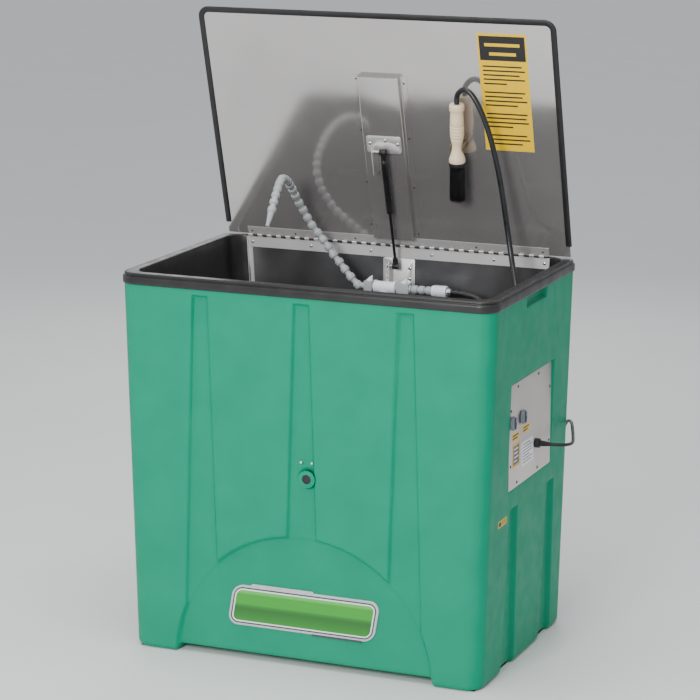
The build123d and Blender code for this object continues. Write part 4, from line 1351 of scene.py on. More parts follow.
    def settle(self, points: np.ndarray, normals: np.ndarray, depth: np.ndarray) -> np.ndarray:
        """Sink the recesses, follow the underside's height and round the foot and the top edge.

        Args:
            points: Points on the plain wall.
            normals: The outward normals there.
            depth: How far each is sunk in.

        Returns:
            The points in place.
        """
        placed = points - normals * depth[..., None]
        floor = self.floor_under(placed[..., 0])
        blend_top = 0.06
        height = placed[..., 2]
        lifted = np.where(height < blend_top, floor + height * (blend_top - floor) / blend_top, height)
        above = lifted - floor
        radius = np.where(floor > self.gap / 2, 0.008, 0.016)
        tuck = radius - np.sqrt(np.maximum(radius ** 2 - np.maximum(radius - above, 0.0) ** 2, 0.0))
        placed = placed - normals * tuck[..., None]
        placed[..., 2] = lifted
        return placed

    def front_columns(self) -> list[tuple[np.ndarray, np.ndarray, np.ndarray]]:
        """The front wall and its two corners, from left to right."""
        return [self.corner_block(-1, -1, 180), self.columns_flat("front"), self.corner_block(1, -1, 270)]

    def rear_columns(self) -> list[tuple[np.ndarray, np.ndarray, np.ndarray]]:
        """The right side, the back and the left side with the rear corners."""
        return [self.columns_flat("right"), self.corner_block(1, 1, 0), self.columns_flat("back"),
                self.corner_block(-1, 1, 90), self.columns_flat("left")]

    def skin(self, name: str, blocks: Sequence[tuple[np.ndarray, np.ndarray, np.ndarray]]) -> bpy.types.Object:
        """One stretch of the wall as a grid of quads.

        Args:
            name: The object's name; a front skin also takes the side walls' nearest columns.
            blocks: Points, normals and depth of each stretch.

        Returns:
            The skin.
        """
        parts = [self.settle(p, n, d) for p, n, d in blocks]
        if name.startswith("cabinet_front"):
            left, right = self.columns_flat("left"), self.columns_flat("right")
            parts = [self.settle(*left)[:, -1:], *parts, self.settle(*right)[:, :1]]
        grid = np.concatenate(parts, axis=1)
        rows, columns = grid.shape[:2]
        corner = (np.arange(rows - 1)[:, None] * columns + np.arange(columns - 1)[None, :]).ravel()
        faces = np.stack([corner, corner + 1, corner + columns + 1, corner + columns], axis=-1)
        mesh = bpy.data.meshes.new(name)
        mesh.from_pydata(grid.reshape(-1, 3).tolist(), [], faces.tolist())
        return as_object(name, mesh, Finish.GREEN_BODY, sharp=70.0)

    def belly(self) -> bpy.types.Object:
        """The underside, level on each runner and raised between them."""
        points, normals, depth = self.columns_flat("front")
        front = self.settle(points, normals, depth)[0]
        across = np.concatenate([[-self.wall_x(np.zeros(1))[0] + 0.016], front[:, 0],
                                 [self.wall_x(np.zeros(1))[0] - 0.016]])
        half_d = self.half_d - 0.014
        grid = []
        for k in range(13):
            y = -half_d + 2 * half_d * k / 12
            grid.append(np.stack([across, np.full_like(across, y), self.floor_under(across)], axis=-1))
        grid[0][1:-1] = front
        rows, columns = len(grid), len(across)
        corner = (np.arange(rows - 1)[:, None] * columns + np.arange(columns - 1)[None, :]).ravel()
        faces = np.stack([corner, corner + columns, corner + columns + 1, corner + 1], axis=-1)
        mesh = bpy.data.meshes.new("cabinet_belly")
        mesh.from_pydata(np.concatenate(grid).tolist(), [], faces.tolist())
        return as_object("cabinet_belly", mesh, Finish.GREEN_BODY, sharp=50.0)


# ---- sink, rim and false floor


@dataclass
class Sink:
    """Black drop-in sink with a rolled rim, its strainer, false floor and rear splash sheet."""

    half_w: float = 0.5335
    half_d: float = 0.344
    corner: float = 0.045
    skirt: tuple[float, float] = (1.0165, 1.0375)
    top: float = 1.047
    opening: tuple[float, float, float, float] = (-0.5035, 0.5035, -0.314, 0.3265)
    inner_corner: float = 0.045
    taper: float = 0.016
    floor: float = 0.765
    drain: Point = (0.23, 0.04, 0.036)

    def build(self) -> None:
        """Make the basin, the false floor, the strainer and the splash sheet."""
        stand_in(self.basin(), "tank", "sink_basin")
        self.build_grid()
        dress(Finish.GRID_STEEL, "drain_strainer")
        self.build_sheet()

    def outer(self, out: float, z: float) -> np.ndarray:
        """The rim's outline, moved outwards by a distance."""
        return rounded_loop(-self.half_w - out, self.half_w + out, -self.half_d - out, self.half_d + out,
                            self.corner + out, z)

    def inner(self, inward: float, z: float) -> np.ndarray:
        """The opening's outline, moved inwards; the rear wall stays upright below the rim."""
        x0, x1, y0, y1 = self.opening
        back = min(inward, 0.0)
        return rounded_loop(x0 + inward, x1 - inward, y0 + inward, y1 - back, self.inner_corner, z)

    def basin(self) -> bpy.types.Object:
        """Rim and walls in one skin, with a round drain hole in the floor."""
        low, high = self.skirt
        top = self.top
        loops = [self.outer(-0.0035, low + 0.0005), self.outer(0.0025, low), self.outer(0.0042, low + 0.0018),
                 self.outer(0.0045, low + 0.005), self.outer(0.0045, high - 0.004), self.outer(0.004, high - 0.0015),
                 self.outer(0.0022, high), self.outer(-0.001, high + 0.0004), self.outer(-0.0016, high + 0.0012),
                 self.outer(-0.0016, high + 0.0026), self.outer(-0.0004, high + 0.0032)]
        loops += [self.outer(0.0002 - 0.004 * (1 - math.cos(t)), top - 0.0048 + 0.0048 * math.sin(t))
                  for t in np.linspace(0.1, math.pi / 2, 6)]
        loops += [self.inner(-0.005 * (1 - math.sin(t)), top - 0.005 * (1 - math.cos(t)))
                  for t in np.linspace(0.0, math.pi / 2, 6)]
        drop = top - 0.005 - self.floor
        loops += [self.inner(self.taper * k / 12, top - 0.005 - (drop - 0.012) * k / 12) for k in range(1, 13)]
        loops += [self.inner(self.taper + 0.012 * (1 - math.cos(t)), self.floor + 0.012 * (1 - math.sin(t)))
                  for t in np.linspace(0.25, math.pi / 2, 5)]
        last = loops[-1]
        x, y, radius = self.drain
        for share in (0.25, 0.5, 0.75, 0.92, 1.0):
            angle = np.arctan2(last[:, 1] - y, last[:, 0] - x)
            ring = np.stack([x + radius * np.cos(angle), y + radius * np.sin(angle), np.full(len(last), self.floor)],
                            axis=-1)
            loops.append(last * (1 - share) + ring * share)
        lip = loops[-1].copy()
        lip[:, 2] -= 0.006
        loops.append(lip)
        return stack("sink_skin", loops, Finish.BLACK_SINK, caps=False, sharp=60.0)

    def build_grid(self) -> None:
        """Welded false floor: round bars across a frame of flat bars, on four feet."""
        bars = grown("floor_bars", [(-0.4505, 0.0075, 0.7838)], (), (), trees["bars"],
                     {"Count": 30, "Pitch": 0.03107, "Radius": 0.0021, "Length": 0.578}, Finish.GRID_STEEL)
        edges = [block("edge_left", (-0.47, -0.285, 0.777), (-0.464, 0.3, 0.786), 0.001, Finish.GRID_STEEL),
                 block("edge_right", (0.464, -0.285, 0.777), (0.47, 0.3, 0.786), 0.001, Finish.GRID_STEEL),
                 block("edge_front", (-0.468, -0.285, 0.777), (0.468, -0.279, 0.7858), 0.001, Finish.GRID_STEEL),
                 block("edge_rear", (-0.468, 0.294, 0.777), (0.468, 0.3, 0.7858), 0.001, Finish.GRID_STEEL),
                 block("rail_a", (-0.467, -0.09, 0.777), (0.467, -0.084, 0.7818), 0.0008, Finish.GRID_STEEL),
                 block("rail_b", (-0.467, 0.099, 0.777), (0.467, 0.105, 0.7818), 0.0008, Finish.GRID_STEEL)]
        feet = [turned(f"foot_{x}_{y}", (x, y, 0.7652), (0, 0, 1), [(0, 0.006), (0.001, 0.0078), (0.0125, 0.0078)],
                       Finish.PUMP_BLACK, sides=20) for x in (-0.44, 0.44) for y in (-0.275, 0.29)]
        floor = joined("false_floor", [*edges, bars, *feet])
        stand_in(floor, "parts_grid", "parts_grid")

    def build_sheet(self) -> None:
        """Splash sheet behind the pipes, folded forward at both ends."""
        path = []
        section = [(-0.4608, 0.3165), (-0.461, 0.3228), (-0.46, 0.325), (-0.458, 0.3257)]
        section += [(x, 0.3257) for x in np.linspace(-0.4, 0.4, 7)]
        section += [(0.458, 0.3257), (0.46, 0.325), (0.461, 0.3228), (0.4608, 0.3165)]
        for z, scale in ((1.0425, 1.0), (0.93, 0.982), (0.801, 0.9675)):
            front = [(x * scale, y, z) for x, y in section]
            back = [(x * scale + math.copysign(0.0006, x), y + 0.0008, z) for x, y in reversed(section)]
            path.append(np.array(front + back))
        sheet = stack("splash_sheet", path, Finish.LINER_STEEL, sharp=50.0)
        lips = [self.lip(side) for side in (-1, 1)]
        stand_in(joined("splash_sheet", [sheet, *lips]), "tank", "sink_back_panel")

    def lip(self, side: int) -> bpy.types.Object:
        """The folded edge at one end of the splash sheet, in a bright steel as a painted highlight on the fold.

        Args:
            side: -1 for the left end, 1 for the right.

        Returns:
            The folded edge.
        """
        corners = []
        for z, scale in ((1.0425, 1.0), (0.801, 0.9675)):
            corners += [(side * x * scale, y, z) for x, y in ((0.4613, 0.316), (0.4613, 0.325), (0.448, 0.325),
                                                              (0.448, 0.3246), (0.4598, 0.3244), (0.46, 0.316))]
        faces = [(0, 1, 2, 3, 4, 5), (11, 10, 9, 8, 7, 6)]
        faces += [(k, k + 6, (k + 1) % 6 + 6, (k + 1) % 6) for k in range(6)]
        # The bright finish here is a painted highlight on the sheet's fold.
        return from_points(f"lip_{side}", corners, faces, Finish.HINGE_STEEL)


# ---- hinge


@dataclass
class Hinge:
    """Piano hinge between the sink's rear wall and the lid, with its knuckles and screws."""

    axis: Point = (0.0, 0.3215, 1.048)
    half: float = 0.458
    knuckles: int = 62
    radius: float = 0.0032
    screw_x: tuple[float, ...] = (-0.445, -0.26, -0.075, 0.11, 0.295, 0.444)

    def build(self) -> None:
        """Make both leaves with their halves of the knuckles, and the screws."""
        pitch = 2 * self.half / self.knuckles
        for body, name, node, first in (("tank", "hinge_leaf_lower", "hinge_lower_leaf", 0),
                                        ("lid", "hinge_leaf_upper", "hinge_upper_leaf", 1)):
            parts = [self.leaf(body, name)]
            for k in range(first, self.knuckles, 2):
                start = (-self.half + pitch * k + 0.0002, self.axis[1], self.axis[2])
                width = pitch - 0.0004
                # The lid's knuckles are dark and slimmer: painted shade that stands in for the dark slots between the
                # tank's knuckles.
                finish = Finish.HINGE_STEEL if body == "tank" else Finish.DARK_ZINC_AND_SLOT_SHADE
                radius = self.radius if body == "tank" else self.radius - 0.0005
                parts.append(turned(f"knuckle_{body}_{k}", start, (1, 0, 0),
                                    [(0, 0.0024), (0.0004, radius), (width - 0.0004, radius), (width, 0.0024)],
                                    finish, sides=16))
                parts.append(self.tab(body, f"tab_{body}_{k}", start[0], width))
            stand_in(joined(name, parts), body, node)
        dress(Finish.DARK_ZINC_AND_SLOT_SHADE, "hinge_pin")
        screws("hinge_screw_heads", [(x, 0.3231, 1.027) for x in self.screw_x], (0.0, -1.0, 0.0), 0.0046, 0.0021,
               Finish.ZINC, "tank", "hinge_lower_screws")

    def leaf(self, body: str, name: str) -> bpy.types.Object:
        """One flat leaf, notched where the other leaf's knuckles turn; the upper one leans with the lid.

        Args:
            body: The body it is made for: tank or lid.
            name: The object's name.

        Returns:
            The leaf.
        """
        if body == "tank":
            return self.plate(name, -self.half, self.half,
                              [Vector((0, y, z)) for y, z in ((0.3232, 1.012), (0.3232, 1.0415), (0.3247, 1.0415),
                                                              (0.3247, 1.012))])
        return self.plate(name, -self.half, self.half,
                          [LID.at(0, up, out) for up, out in ((0.0062, -0.0017), (0.024, -0.0017),
                                                              (0.024, -0.0031), (0.0062, -0.0031))])

    def tab(self, body: str, name: str, start: float, width: float) -> bpy.types.Object:
        """The strip that joins one knuckle to its leaf.

        Args:
            body: The body it is made for: tank or lid.
            name: The object's name.
            start: Where the knuckle starts, along X.
            width: The knuckle's width.

        Returns:
            The strip.
        """
        if body == "tank":
            section = [Vector((0, y, z)) for y, z in ((0.3232, 1.041), (0.3232, 1.048), (0.3246, 1.048),
                                                      (0.3246, 1.041))]
        else:
            section = [LID.at(0, up, out) for up, out in ((0.0005, -0.0018), (0.0066, -0.0018), (0.0066, -0.003),
                                                          (0.0005, -0.003))]
        return self.plate(name, start, start + width, section)

    def plate(self, name: str, x0: float, x1: float, section: Sequence[Vector]) -> bpy.types.Object:
        """A straight bar of a four-cornered section between two places along the hinge."""
        corners = [corner + Vector((x, 0, 0)) for x in (x0, x1) for corner in section]
        faces = [(0, 1, 2, 3), (7, 6, 5, 4), (0, 4, 5, 1), (1, 5, 6, 2), (2, 6, 7, 3), (3, 7, 4, 0)]
        return from_points(name, corners, faces, Finish.HINGE_STEEL)


# ---- lid


@dataclass
class Lid:
    """Sheet steel lid with a rubber edge, a folded channel, a strut bracket and a brush clip."""

    half: float = 0.52
    span: tuple[float, float] = (0.002, 0.69)
    sheet: tuple[float, float] = (-0.0044, -0.0032)
    corner_top: float = 0.027
    trim_start: float = 0.035
    channel: tuple[float, float, float, float] = (-0.057, 0.065, 0.026, 0.514)
    channel_face: float = 0.0168
    flange: float = 0.018

    def build(self) -> None:
        """Make the sheet, the edge, the channel, the fittings and the label."""
        stand_in(self.panel(), "lid", "lid_panel")
        stand_in(self.edge(), "lid", "lid_edge_trim")
        stand_in(self.channel_piece(), "lid", "lid_channel")
        softened("lid_strut_bracket", Finish.HINGE_STEEL, 0.0004)
        softened("brush_clip", Finish.SPRING_BRASS, 0.0004)
        bolts = [LID.at(x, up, 0.0191) for x, up in ((-0.036, 0.319), (0.046, 0.319), (0.01, 0.329))]
        screws("bracket_bolts", bolts, tuple(LID.out), 0.0055, 0.003, Finish.ZINC, "lid", "lid_bracket_bolts")
        marks = [LID.at(x, 0.011, -0.0018) for x in (-0.445, -0.308, -0.122, 0.244, 0.44)]
        marks += [LID.at(0.074, up, -0.0021) for up in (0.493, 0.33, 0.182, 0.039)]
        marks += [LID.at(-0.067, up, -0.0021) for up in (0.501, 0.349, 0.191, 0.06)]
        welds = grown("spot_welds", marks, (), (), trees["dabs"],
                      {"Radius": 0.003, "Height": 0.0006, "Facing": tuple(LID.out)}, Finish.HEAT_MARK)
        detail(welds, "lid", "hinge_steel")
        self.build_label()

    def outline(self, inset: float) -> list[tuple[float, float]]:
        """The sheet's outline as (sideways, up), from the lower right round the top to the lower left.

        Args:
            inset: How far inside the edge the line runs.

        Returns:
            The points of the line.
        """
        low, high = self.span
        points = [(self.half - inset, low)]
        points += [(self.half - inset, low + (high - low) * k / 14) for k in range(1, 14)]
        points = [p for p in points if p[1] < high - self.corner_top]
        radius = self.corner_top - inset
        for x, start in ((self.half - self.corner_top, 0), (-self.half + self.corner_top, 90)):
            for k in range(11):
                angle = math.radians(start + 9 * k)
                points.append((x + radius * math.cos(angle), high - self.corner_top + radius * math.sin(angle)))
        points += [(-x, up) for x, up in reversed(points) if up < high - self.corner_top - 1e-6 and x > 0]
        return points

    def panel(self) -> bpy.types.Object:
        """The flat sheet as a grid fitted to its outline, thin and closed."""
        back, front = self.sheet
        edge = self.outline(0.0)
        centre = (0.0, 0.345)
        loops = []
        for share in (0.02, 0.35, 0.7, 1.0):
            loops.append(np.array([LID.at(centre[0] + (x - centre[0]) * share, centre[1] + (up - centre[1]) * share,
                                          front) for x, up in edge]))
        for share in (1.0, 0.7, 0.35, 0.02):
            loops.append(np.array([LID.at(centre[0] + (x - centre[0]) * share, centre[1] + (up - centre[1]) * share,
                                          back) for x, up in edge]))
        return stack("lid_sheet", loops, Finish.LID_STEEL, sharp=40.0)

    def edge(self) -> bpy.types.Object:
        """Rubber edging with a rounded lip, swept round the sides and the top."""
        path = [LID.at(x, up, -0.0038) for x, up in self.outline(0.0035)]
        clear = [p for p, (_, up) in zip(path, self.outline(0.0035)) if up > self.trim_start]
        ends = (LID.at(self.half - 0.0035, self.trim_start, -0.0038),
                LID.at(-self.half + 0.0035, self.trim_start, -0.0038))
        line = [ends[0], *clear, ends[1]]

        def section(turn: float) -> tuple[float, float]:
            """A flattened oval, fuller on the outer side."""
            across = math.copysign(abs(math.cos(turn)) ** 0.7, math.cos(turn)) * 0.0085
            thick = math.copysign(abs(math.sin(turn)) ** 0.75, math.sin(turn)) * 0.0037
            return across, thick * (1.12 if across > 0 else 0.86)

        return swept("lid_edging", line, section, Finish.EDGE_RUBBER, up=LID.out, sides=20)

    def channel_piece(self) -> bpy.types.Object:
        """A folded top-hat channel, its bends rounded, welded down by its flanges."""
        left, right, low, high = self.channel
        outer = []
        profile = [(left - self.flange, -0.0032), (left - self.flange, -0.0021)]
        profile += self.bend(left - 0.0025, -0.0021 + 0.0025, 0.0025, 270, 360)
        profile += self.bend(left + 0.0035, self.channel_face - 0.0035, 0.0035, 180, 90)
        profile += self.bend(right - 0.0035, self.channel_face - 0.0035, 0.0035, 90, 0)
        profile += self.bend(right + 0.0025, -0.0021 + 0.0025, 0.0025, 180, 270)
        profile += [(right + self.flange, -0.0021), (right + self.flange, -0.0032)]
        for up in (low, low + 0.0006, (low + high) / 2, high - 0.0006, high):
            tuck = 0.0006 if up in (low, high) else 0.0
            outer.append(np.array([LID.at(x, up, out - (tuck if out > 0 else 0)) for x, out in profile]))
        return stack("lid_channel_fold", outer, Finish.LID_STEEL, sharp=35.0)

    def bend(self, x: float, out: float, radius: float, start: float, end: float) -> list[tuple[float, float]]:
        """Points round one rounded bend."""
        turns = [math.radians(start + (end - start) * k / 6) for k in range(7)]
        return [(x + radius * math.cos(t), out + radius * math.sin(t)) for t in turns]

    def build_label(self) -> None:
        """Upright yellow label with a dark header and rows of plain bars."""
        rows = [(0.298, 0.438, 0.311, 0.651, -0.0031, Finish.YELLOW_FILM),
                (0.303, 0.433, 0.573, 0.643, -0.00295, Finish.BLACK_INK)]
        for k, (start, end) in enumerate(((0.318, 0.418), (0.33, 0.406))):
            up = 0.618 - 0.026 * k
            rows.append((start, end, up - 0.0045, up + 0.0045, -0.0028, Finish.YELLOW_FILM))
        widths = (0.112, 0.12, 0.104, 0.118, 0.066, 0.0, 0.116, 0.108, 0.12, 0.092, 0.0, 0.118, 0.114, 0.12, 0.074,
                  0.0, 0.112, 0.12, 0.098)
        for k, width in enumerate(widths):
            if width:
                up = 0.556 - 0.0125 * k
                rows.append((0.308, 0.308 + width, up - 0.0022, up + 0.0022, -0.00295, Finish.BLACK_INK))
        films = [film(f"label_film_{k}", LID, *row) for k, row in enumerate(rows)]
        stand_in(joined("lid_label_film", films), "lid", "lid_label")


def film(name: str, plane: LidPlane, x0: float, x1: float, up0: float, up1: float, out: float,
         finish: Finish) -> bpy.types.Object:
    """A thin closed film on the lid, with its face at a distance out of it."""
    return slab(name, [plane.at(x, up, out) for x, up in ((x0, up0), (x1, up0), (x1, up1), (x0, up1))],
                plane.out, 0.00012, finish)


def slab(name: str, corners: Sequence[Vector], out: Vector, thick: float, finish: Finish) -> bpy.types.Object:
    """A thin closed slab behind a four-cornered face."""
    back = [Vector(c) - Vector(out) * thick for c in corners]
    faces = [(0, 1, 2, 3), (7, 6, 5, 4), (0, 4, 5, 1), (1, 5, 6, 2), (2, 6, 7, 3), (3, 7, 4, 0)]
    return from_points(name, [*corners, *back], faces, finish)


# ---- gas strut


@dataclass
class GasStrut:
    """Gas strut with plastic ball sockets, between the tank's bracket and the lid's."""

    x: float = 0.011
    pivot: tuple[float, float] = (0.3, 0.992)
    along: Point = (0.0, -0.2913, 0.95663)

    def at(self, distance: float) -> Vector:
        """The place along the strut at a distance from its lower pivot."""
        return Vector((self.x, *self.pivot)) + Vector(self.along) * distance

    def build(self) -> None:
        """Make the rod, the cylinder, the sockets and the brackets."""
        stand_in(turned("gas_rod", self.at(0.02), self.along,
                        [(0, 0.0034), (0.0006, 0.004), (0.2134, 0.004), (0.214, 0.0034)], Finish.SATIN_BLACK, sides=28),
                 "strut_rod", "strut_rod")
        shell = [(0, 0.0048), (0.0006, 0.0074), (0.0022, 0.0084), (0.006, 0.009), (0.0105, 0.009), (0.0112, 0.0086),
                 (0.013, 0.0086), (0.0137, 0.009), (0.156, 0.009), (0.1615, 0.0082), (0.1645, 0.0066), (0.165, 0.004)]
        stand_in(turned("gas_cylinder", self.at(0.16425), self.along, shell, Finish.SATIN_BLACK, sides=40),
                 "strut_cylinder", "strut_cylinder")
        for node in ("strut_lower_socket", "strut_upper_socket"):
            softened(node, Finish.SOCKET_BLACK, 0.001, segments=3)
        for node in ("upper_ball_stud", "lower_ball_stud"):
            dress(Finish.ZINC, node)
        softened("tank_strut_bracket", Finish.HINGE_STEEL, 0.0004)
        places = [(x, 0.3223, z) for x in (-0.02, 0.044) for z in (0.953, 0.984)]
        screws("tank_bracket_screw_heads", places, (0.0, -1.0, 0.0), 0.005, 0.0023, Finish.ZINC, "tank",
               "tank_bracket_screws")


# ---- pipes and valves


@dataclass
class Manifold:
    """Riser, tee, two lever valves, the link neck, the hose coupler and its barb."""

    y: float = 0.243
    z: float = 0.941

    def build(self) -> None:
        """Round and dress every fitting along the manifold."""
        softened("riser_pipe", Finish.PIPE_GREY, 0.0008)
        softened("manifold_tee", Finish.FITTING_WHITE, 0.0012, segments=3)
        softened("spout_valve_body", Finish.LINK_GREY, 0.0012, segments=3)
        softened("brush_valve_body", Finish.LINK_GREY, 0.0012, segments=3)
        softened("spout_valve_lever", Finish.FITTING_WHITE, 0.0006)
        softened("brush_valve_lever", Finish.FITTING_WHITE, 0.0006)
        softened("link_balls", Finish.LINK_GREY, 0.0006)
        softened("hose_coupler", Finish.FITTING_WHITE, 0.001, segments=3)
        dress(Finish.ZINC, "hose_barb")
        self.add_bands()

    def add_bands(self) -> None:
        """Moulded bands round the tee's sockets and ribs round the coupler."""
        bands = []
        for start in (-0.0292, 0.0284):
            bands.append(turned(f"tee_band_{start}", (start, self.y, self.z), (1, 0, 0),
                                [(0, 0.016), (0.0006, 0.0186), (0.006, 0.0186), (0.0066, 0.016)],
                                Finish.FITTING_WHITE))
        for k in range(4):
            bands.append(turned(f"coupler_rib_{k}", (0.151 + 0.0085 * k, self.y, self.z), (1, 0, 0),
                                [(0, 0.0145), (0.0008, 0.0178), (0.0034, 0.0178), (0.0042, 0.0145)],
                                Finish.FITTING_WHITE))
        detail(joined("fitting_bands", bands), "tank", "white_fittings")


# ---- spout


@dataclass
class Spout:
    """Flexible spout of snap-together ball links, in three lengths that turn on each other."""

    route: list[Point] = field(default_factory=lambda: [
        (-0.081, 0.243, 0.941), (-0.102, 0.24, 0.963), (-0.12, 0.24, 0.983), (-0.137, 0.24, 1.003),
        (-0.155, 0.24, 1.022), (-0.171, 0.242, 1.043), (-0.187, 0.241, 1.063), (-0.203, 0.24, 1.082),
        (-0.219, 0.235, 1.103), (-0.231, 0.23, 1.125), (-0.242, 0.225, 1.147), (-0.25, 0.215, 1.168),
        (-0.256, 0.203, 1.19), (-0.258, 0.187, 1.21), (-0.258, 0.168, 1.226), (-0.255, 0.147, 1.239),
        (-0.251, 0.124, 1.248), (-0.246, 0.099, 1.254), (-0.24, 0.074, 1.257), (-0.233, 0.05, 1.255),
        (-0.227, 0.027, 1.25), (-0.222, 0.005, 1.24), (-0.219, -0.014, 1.226), (-0.217, -0.031, 1.21),
        (-0.216, -0.046, 1.192),
    ])
    lengths: tuple[tuple[str, int, int], ...] = (("spout_lower", 0, 12), ("spout_middle", 12, 20),
                                                 ("spout_nozzle", 20, 24))
    tip: Point = (-0.217, -0.075, 1.15)

    def build(self) -> None:
        """Make the three lengths and the nozzle."""
        for node, first, last in self.lengths:
            made = self.length(node, first, last)
            stand_in(made, node, node)

    def link_profile(self) -> list[tuple[float, float]]:
        """Half section of one link along its axis: a socket cup, a waist and a ball."""
        cup = [(-0.0062, 0.0092), (-0.0062, 0.0108), (-0.0056, 0.0116), (-0.0046, 0.0119), (0.004, 0.0122),
               (0.0058, 0.012), (0.007, 0.0112), (0.0076, 0.01), (0.0084, 0.0088), (0.01, 0.0083),
               (0.0122, 0.0083)]
        ball = [(0.025 - 0.0105 * math.cos(t), 0.0105 * math.sin(t)) for t in np.linspace(0.92, math.pi - 0.55, 12)]
        return cup + ball

    def length(self, name: str, first: int, last: int) -> bpy.types.Object:
        """One length of links from a place in the route to another, as copies of one turned link.

        Args:
            name: The CAD node it stands for.
            first: Where it starts, on the last ball of the length before.
            last: Where it ends.

        Returns:
            The length as one object.
        """
        points = [Vector(p) for p in self.route[first:last + 1]]
        made = []
        link = turned(name + "_link", (0, 0, 0), (0, 0, 1), self.link_profile(), Finish.LINK_GREY, sides=28)
        for k, (a, b) in enumerate(zip(points, points[1:])):
            copy = bpy.data.objects.new(f"{name}_{k}", link.data.copy())
            bpy.context.scene.collection.objects.link(copy)
            ahead = (b - a)
            turn = Vector((0, 0, 1)).rotation_difference(ahead.normalized()).to_matrix().to_4x4()
            stretch = Matrix.Diagonal((1, 1, ahead.length / 0.025, 1))
            copy.data.transform(Matrix.Translation(a) @ turn @ stretch)
            made.append(copy)
        bpy.data.objects.remove(link)
        if last == len(self.route) - 1:
            tip = Vector(self.tip)
            start = points[-1]
            ahead = tip - start
            made.append(turned("spout_tip", start, ahead, [
                (-0.006, 0.0092), (-0.006, 0.011), (-0.0046, 0.0119), (0.006, 0.0119), (0.0078, 0.0108),
                (0.009, 0.0094), (ahead.length - 0.004, 0.005), (ahead.length - 0.0035, 0.0058),
                (ahead.length, 0.0056), (ahead.length, 0.0034), (ahead.length - 0.012, 0.003)],
                Finish.LINK_GREY, sides=28))
        return joined(name + "_links", made)


# ---- brush


@dataclass
class Brush:
    """Flow-through brush: a cream handle, a black ferrule and a long round tuft."""

    low: tuple[float, float, float] = (0.2205, 0.172, 0.048)
    top: tuple[float, float, float] = (0.237, 0.456, 0.03)
    tuft: float = 0.116
    stations: tuple[tuple[float, float], ...] = (
        (0.0, 0.0212), (0.0012, 0.0226), (0.004, 0.023), (0.012, 0.0221), (0.02, 0.019), (0.028, 0.0162),
        (0.036, 0.0146), (0.044, 0.014), (0.052, 0.0143), (0.06, 0.0158), (0.068, 0.0176), (0.0705, 0.0168),
        (0.073, 0.0184), (0.0775, 0.019), (0.0795, 0.018), (0.0815, 0.0192), (0.0865, 0.0194), (0.0885, 0.0184),
        (0.0905, 0.0195), (0.0955, 0.0196), (0.0975, 0.0186), (0.0995, 0.0196), (0.1045, 0.0196), (0.1065, 0.0186),
        (0.1085, 0.0194), (0.12, 0.019), (0.136, 0.0181), (0.146, 0.0175), (0.148, 0.0176),
        (0.1495, 0.02), (0.151, 0.0206), (0.1645, 0.0206), (0.1668, 0.0199), (0.168, 0.0186), (0.168, 0.0092))

    def at(self, distance: float) -> Vector:
        """The place on the brush's centre line at a distance above the tuft's tip."""
        low, top = LID.at(*self.low), LID.at(*self.top)
        return low + (top - low).normalized() * distance

    @property
    def direction(self) -> Vector:
        """The way up the brush."""
        return (self.at(1.0) - self.at(0.0)).normalized()

    def build(self) -> bpy.types.Object:
        """Make the handle, the ferrule and the tuft, and return the handle."""
        handle = turned("brush_grip", self.at(self.tuft), self.direction, self.stations, Finish.HANDLE_CREAM, sides=48)
        stand_in(handle, "brush", "brush_handle")
        head = self.head()
        stand_in(head, "brush", "brush_head")
        return handle

    def head(self) -> bpy.types.Object:
        """Bristles round a dark core, gathered under a ferrule."""
        rings = 5
        base = self.at(self.tuft - 0.003)
        side, other = axes_for(self.direction)
        points = [base]
        faces = []
        count = 24
        for r in range(1, rings):
            radius = 0.0205 * r / (rings - 1)
            for k in range(count):
                angle = 2 * math.pi * k / count
                points.append(base + (side * math.cos(angle) + other * math.sin(angle)) * radius)
        for k in range(count):
            faces.append((0, 1 + k, 1 + (k + 1) % count))
            for r in range(rings - 2):
                a, b = 1 + r * count, 1 + (r + 1) * count
                faces.append((a + k, b + k, b + (k + 1) % count, a + (k + 1) % count))
        values = {"Density": 1250000.0, "Length": self.tuft - 0.004, "Thickness": 0.00055,
                  "Facing": tuple(-self.direction), "Seed": 11}
        bristles = grown("brush_bristles", points, (), faces, trees["bristles"], values, Finish.BRISTLE_BLACK, 80.0)
        core = turned("brush_core", self.at(self.tuft), -self.direction,
                      [(0.0, 0.019), (0.0, 0.0222), (0.0022, 0.0228), (0.009, 0.0228), (0.0105, 0.0216),
                       (0.03, 0.02), (0.08, 0.0205), (0.106, 0.019), (0.109, 0.012)],
                      Finish.BRISTLE_BLACK, sides=40)
        return joined("brush_tuft", [core, bristles])


# ---- control panel


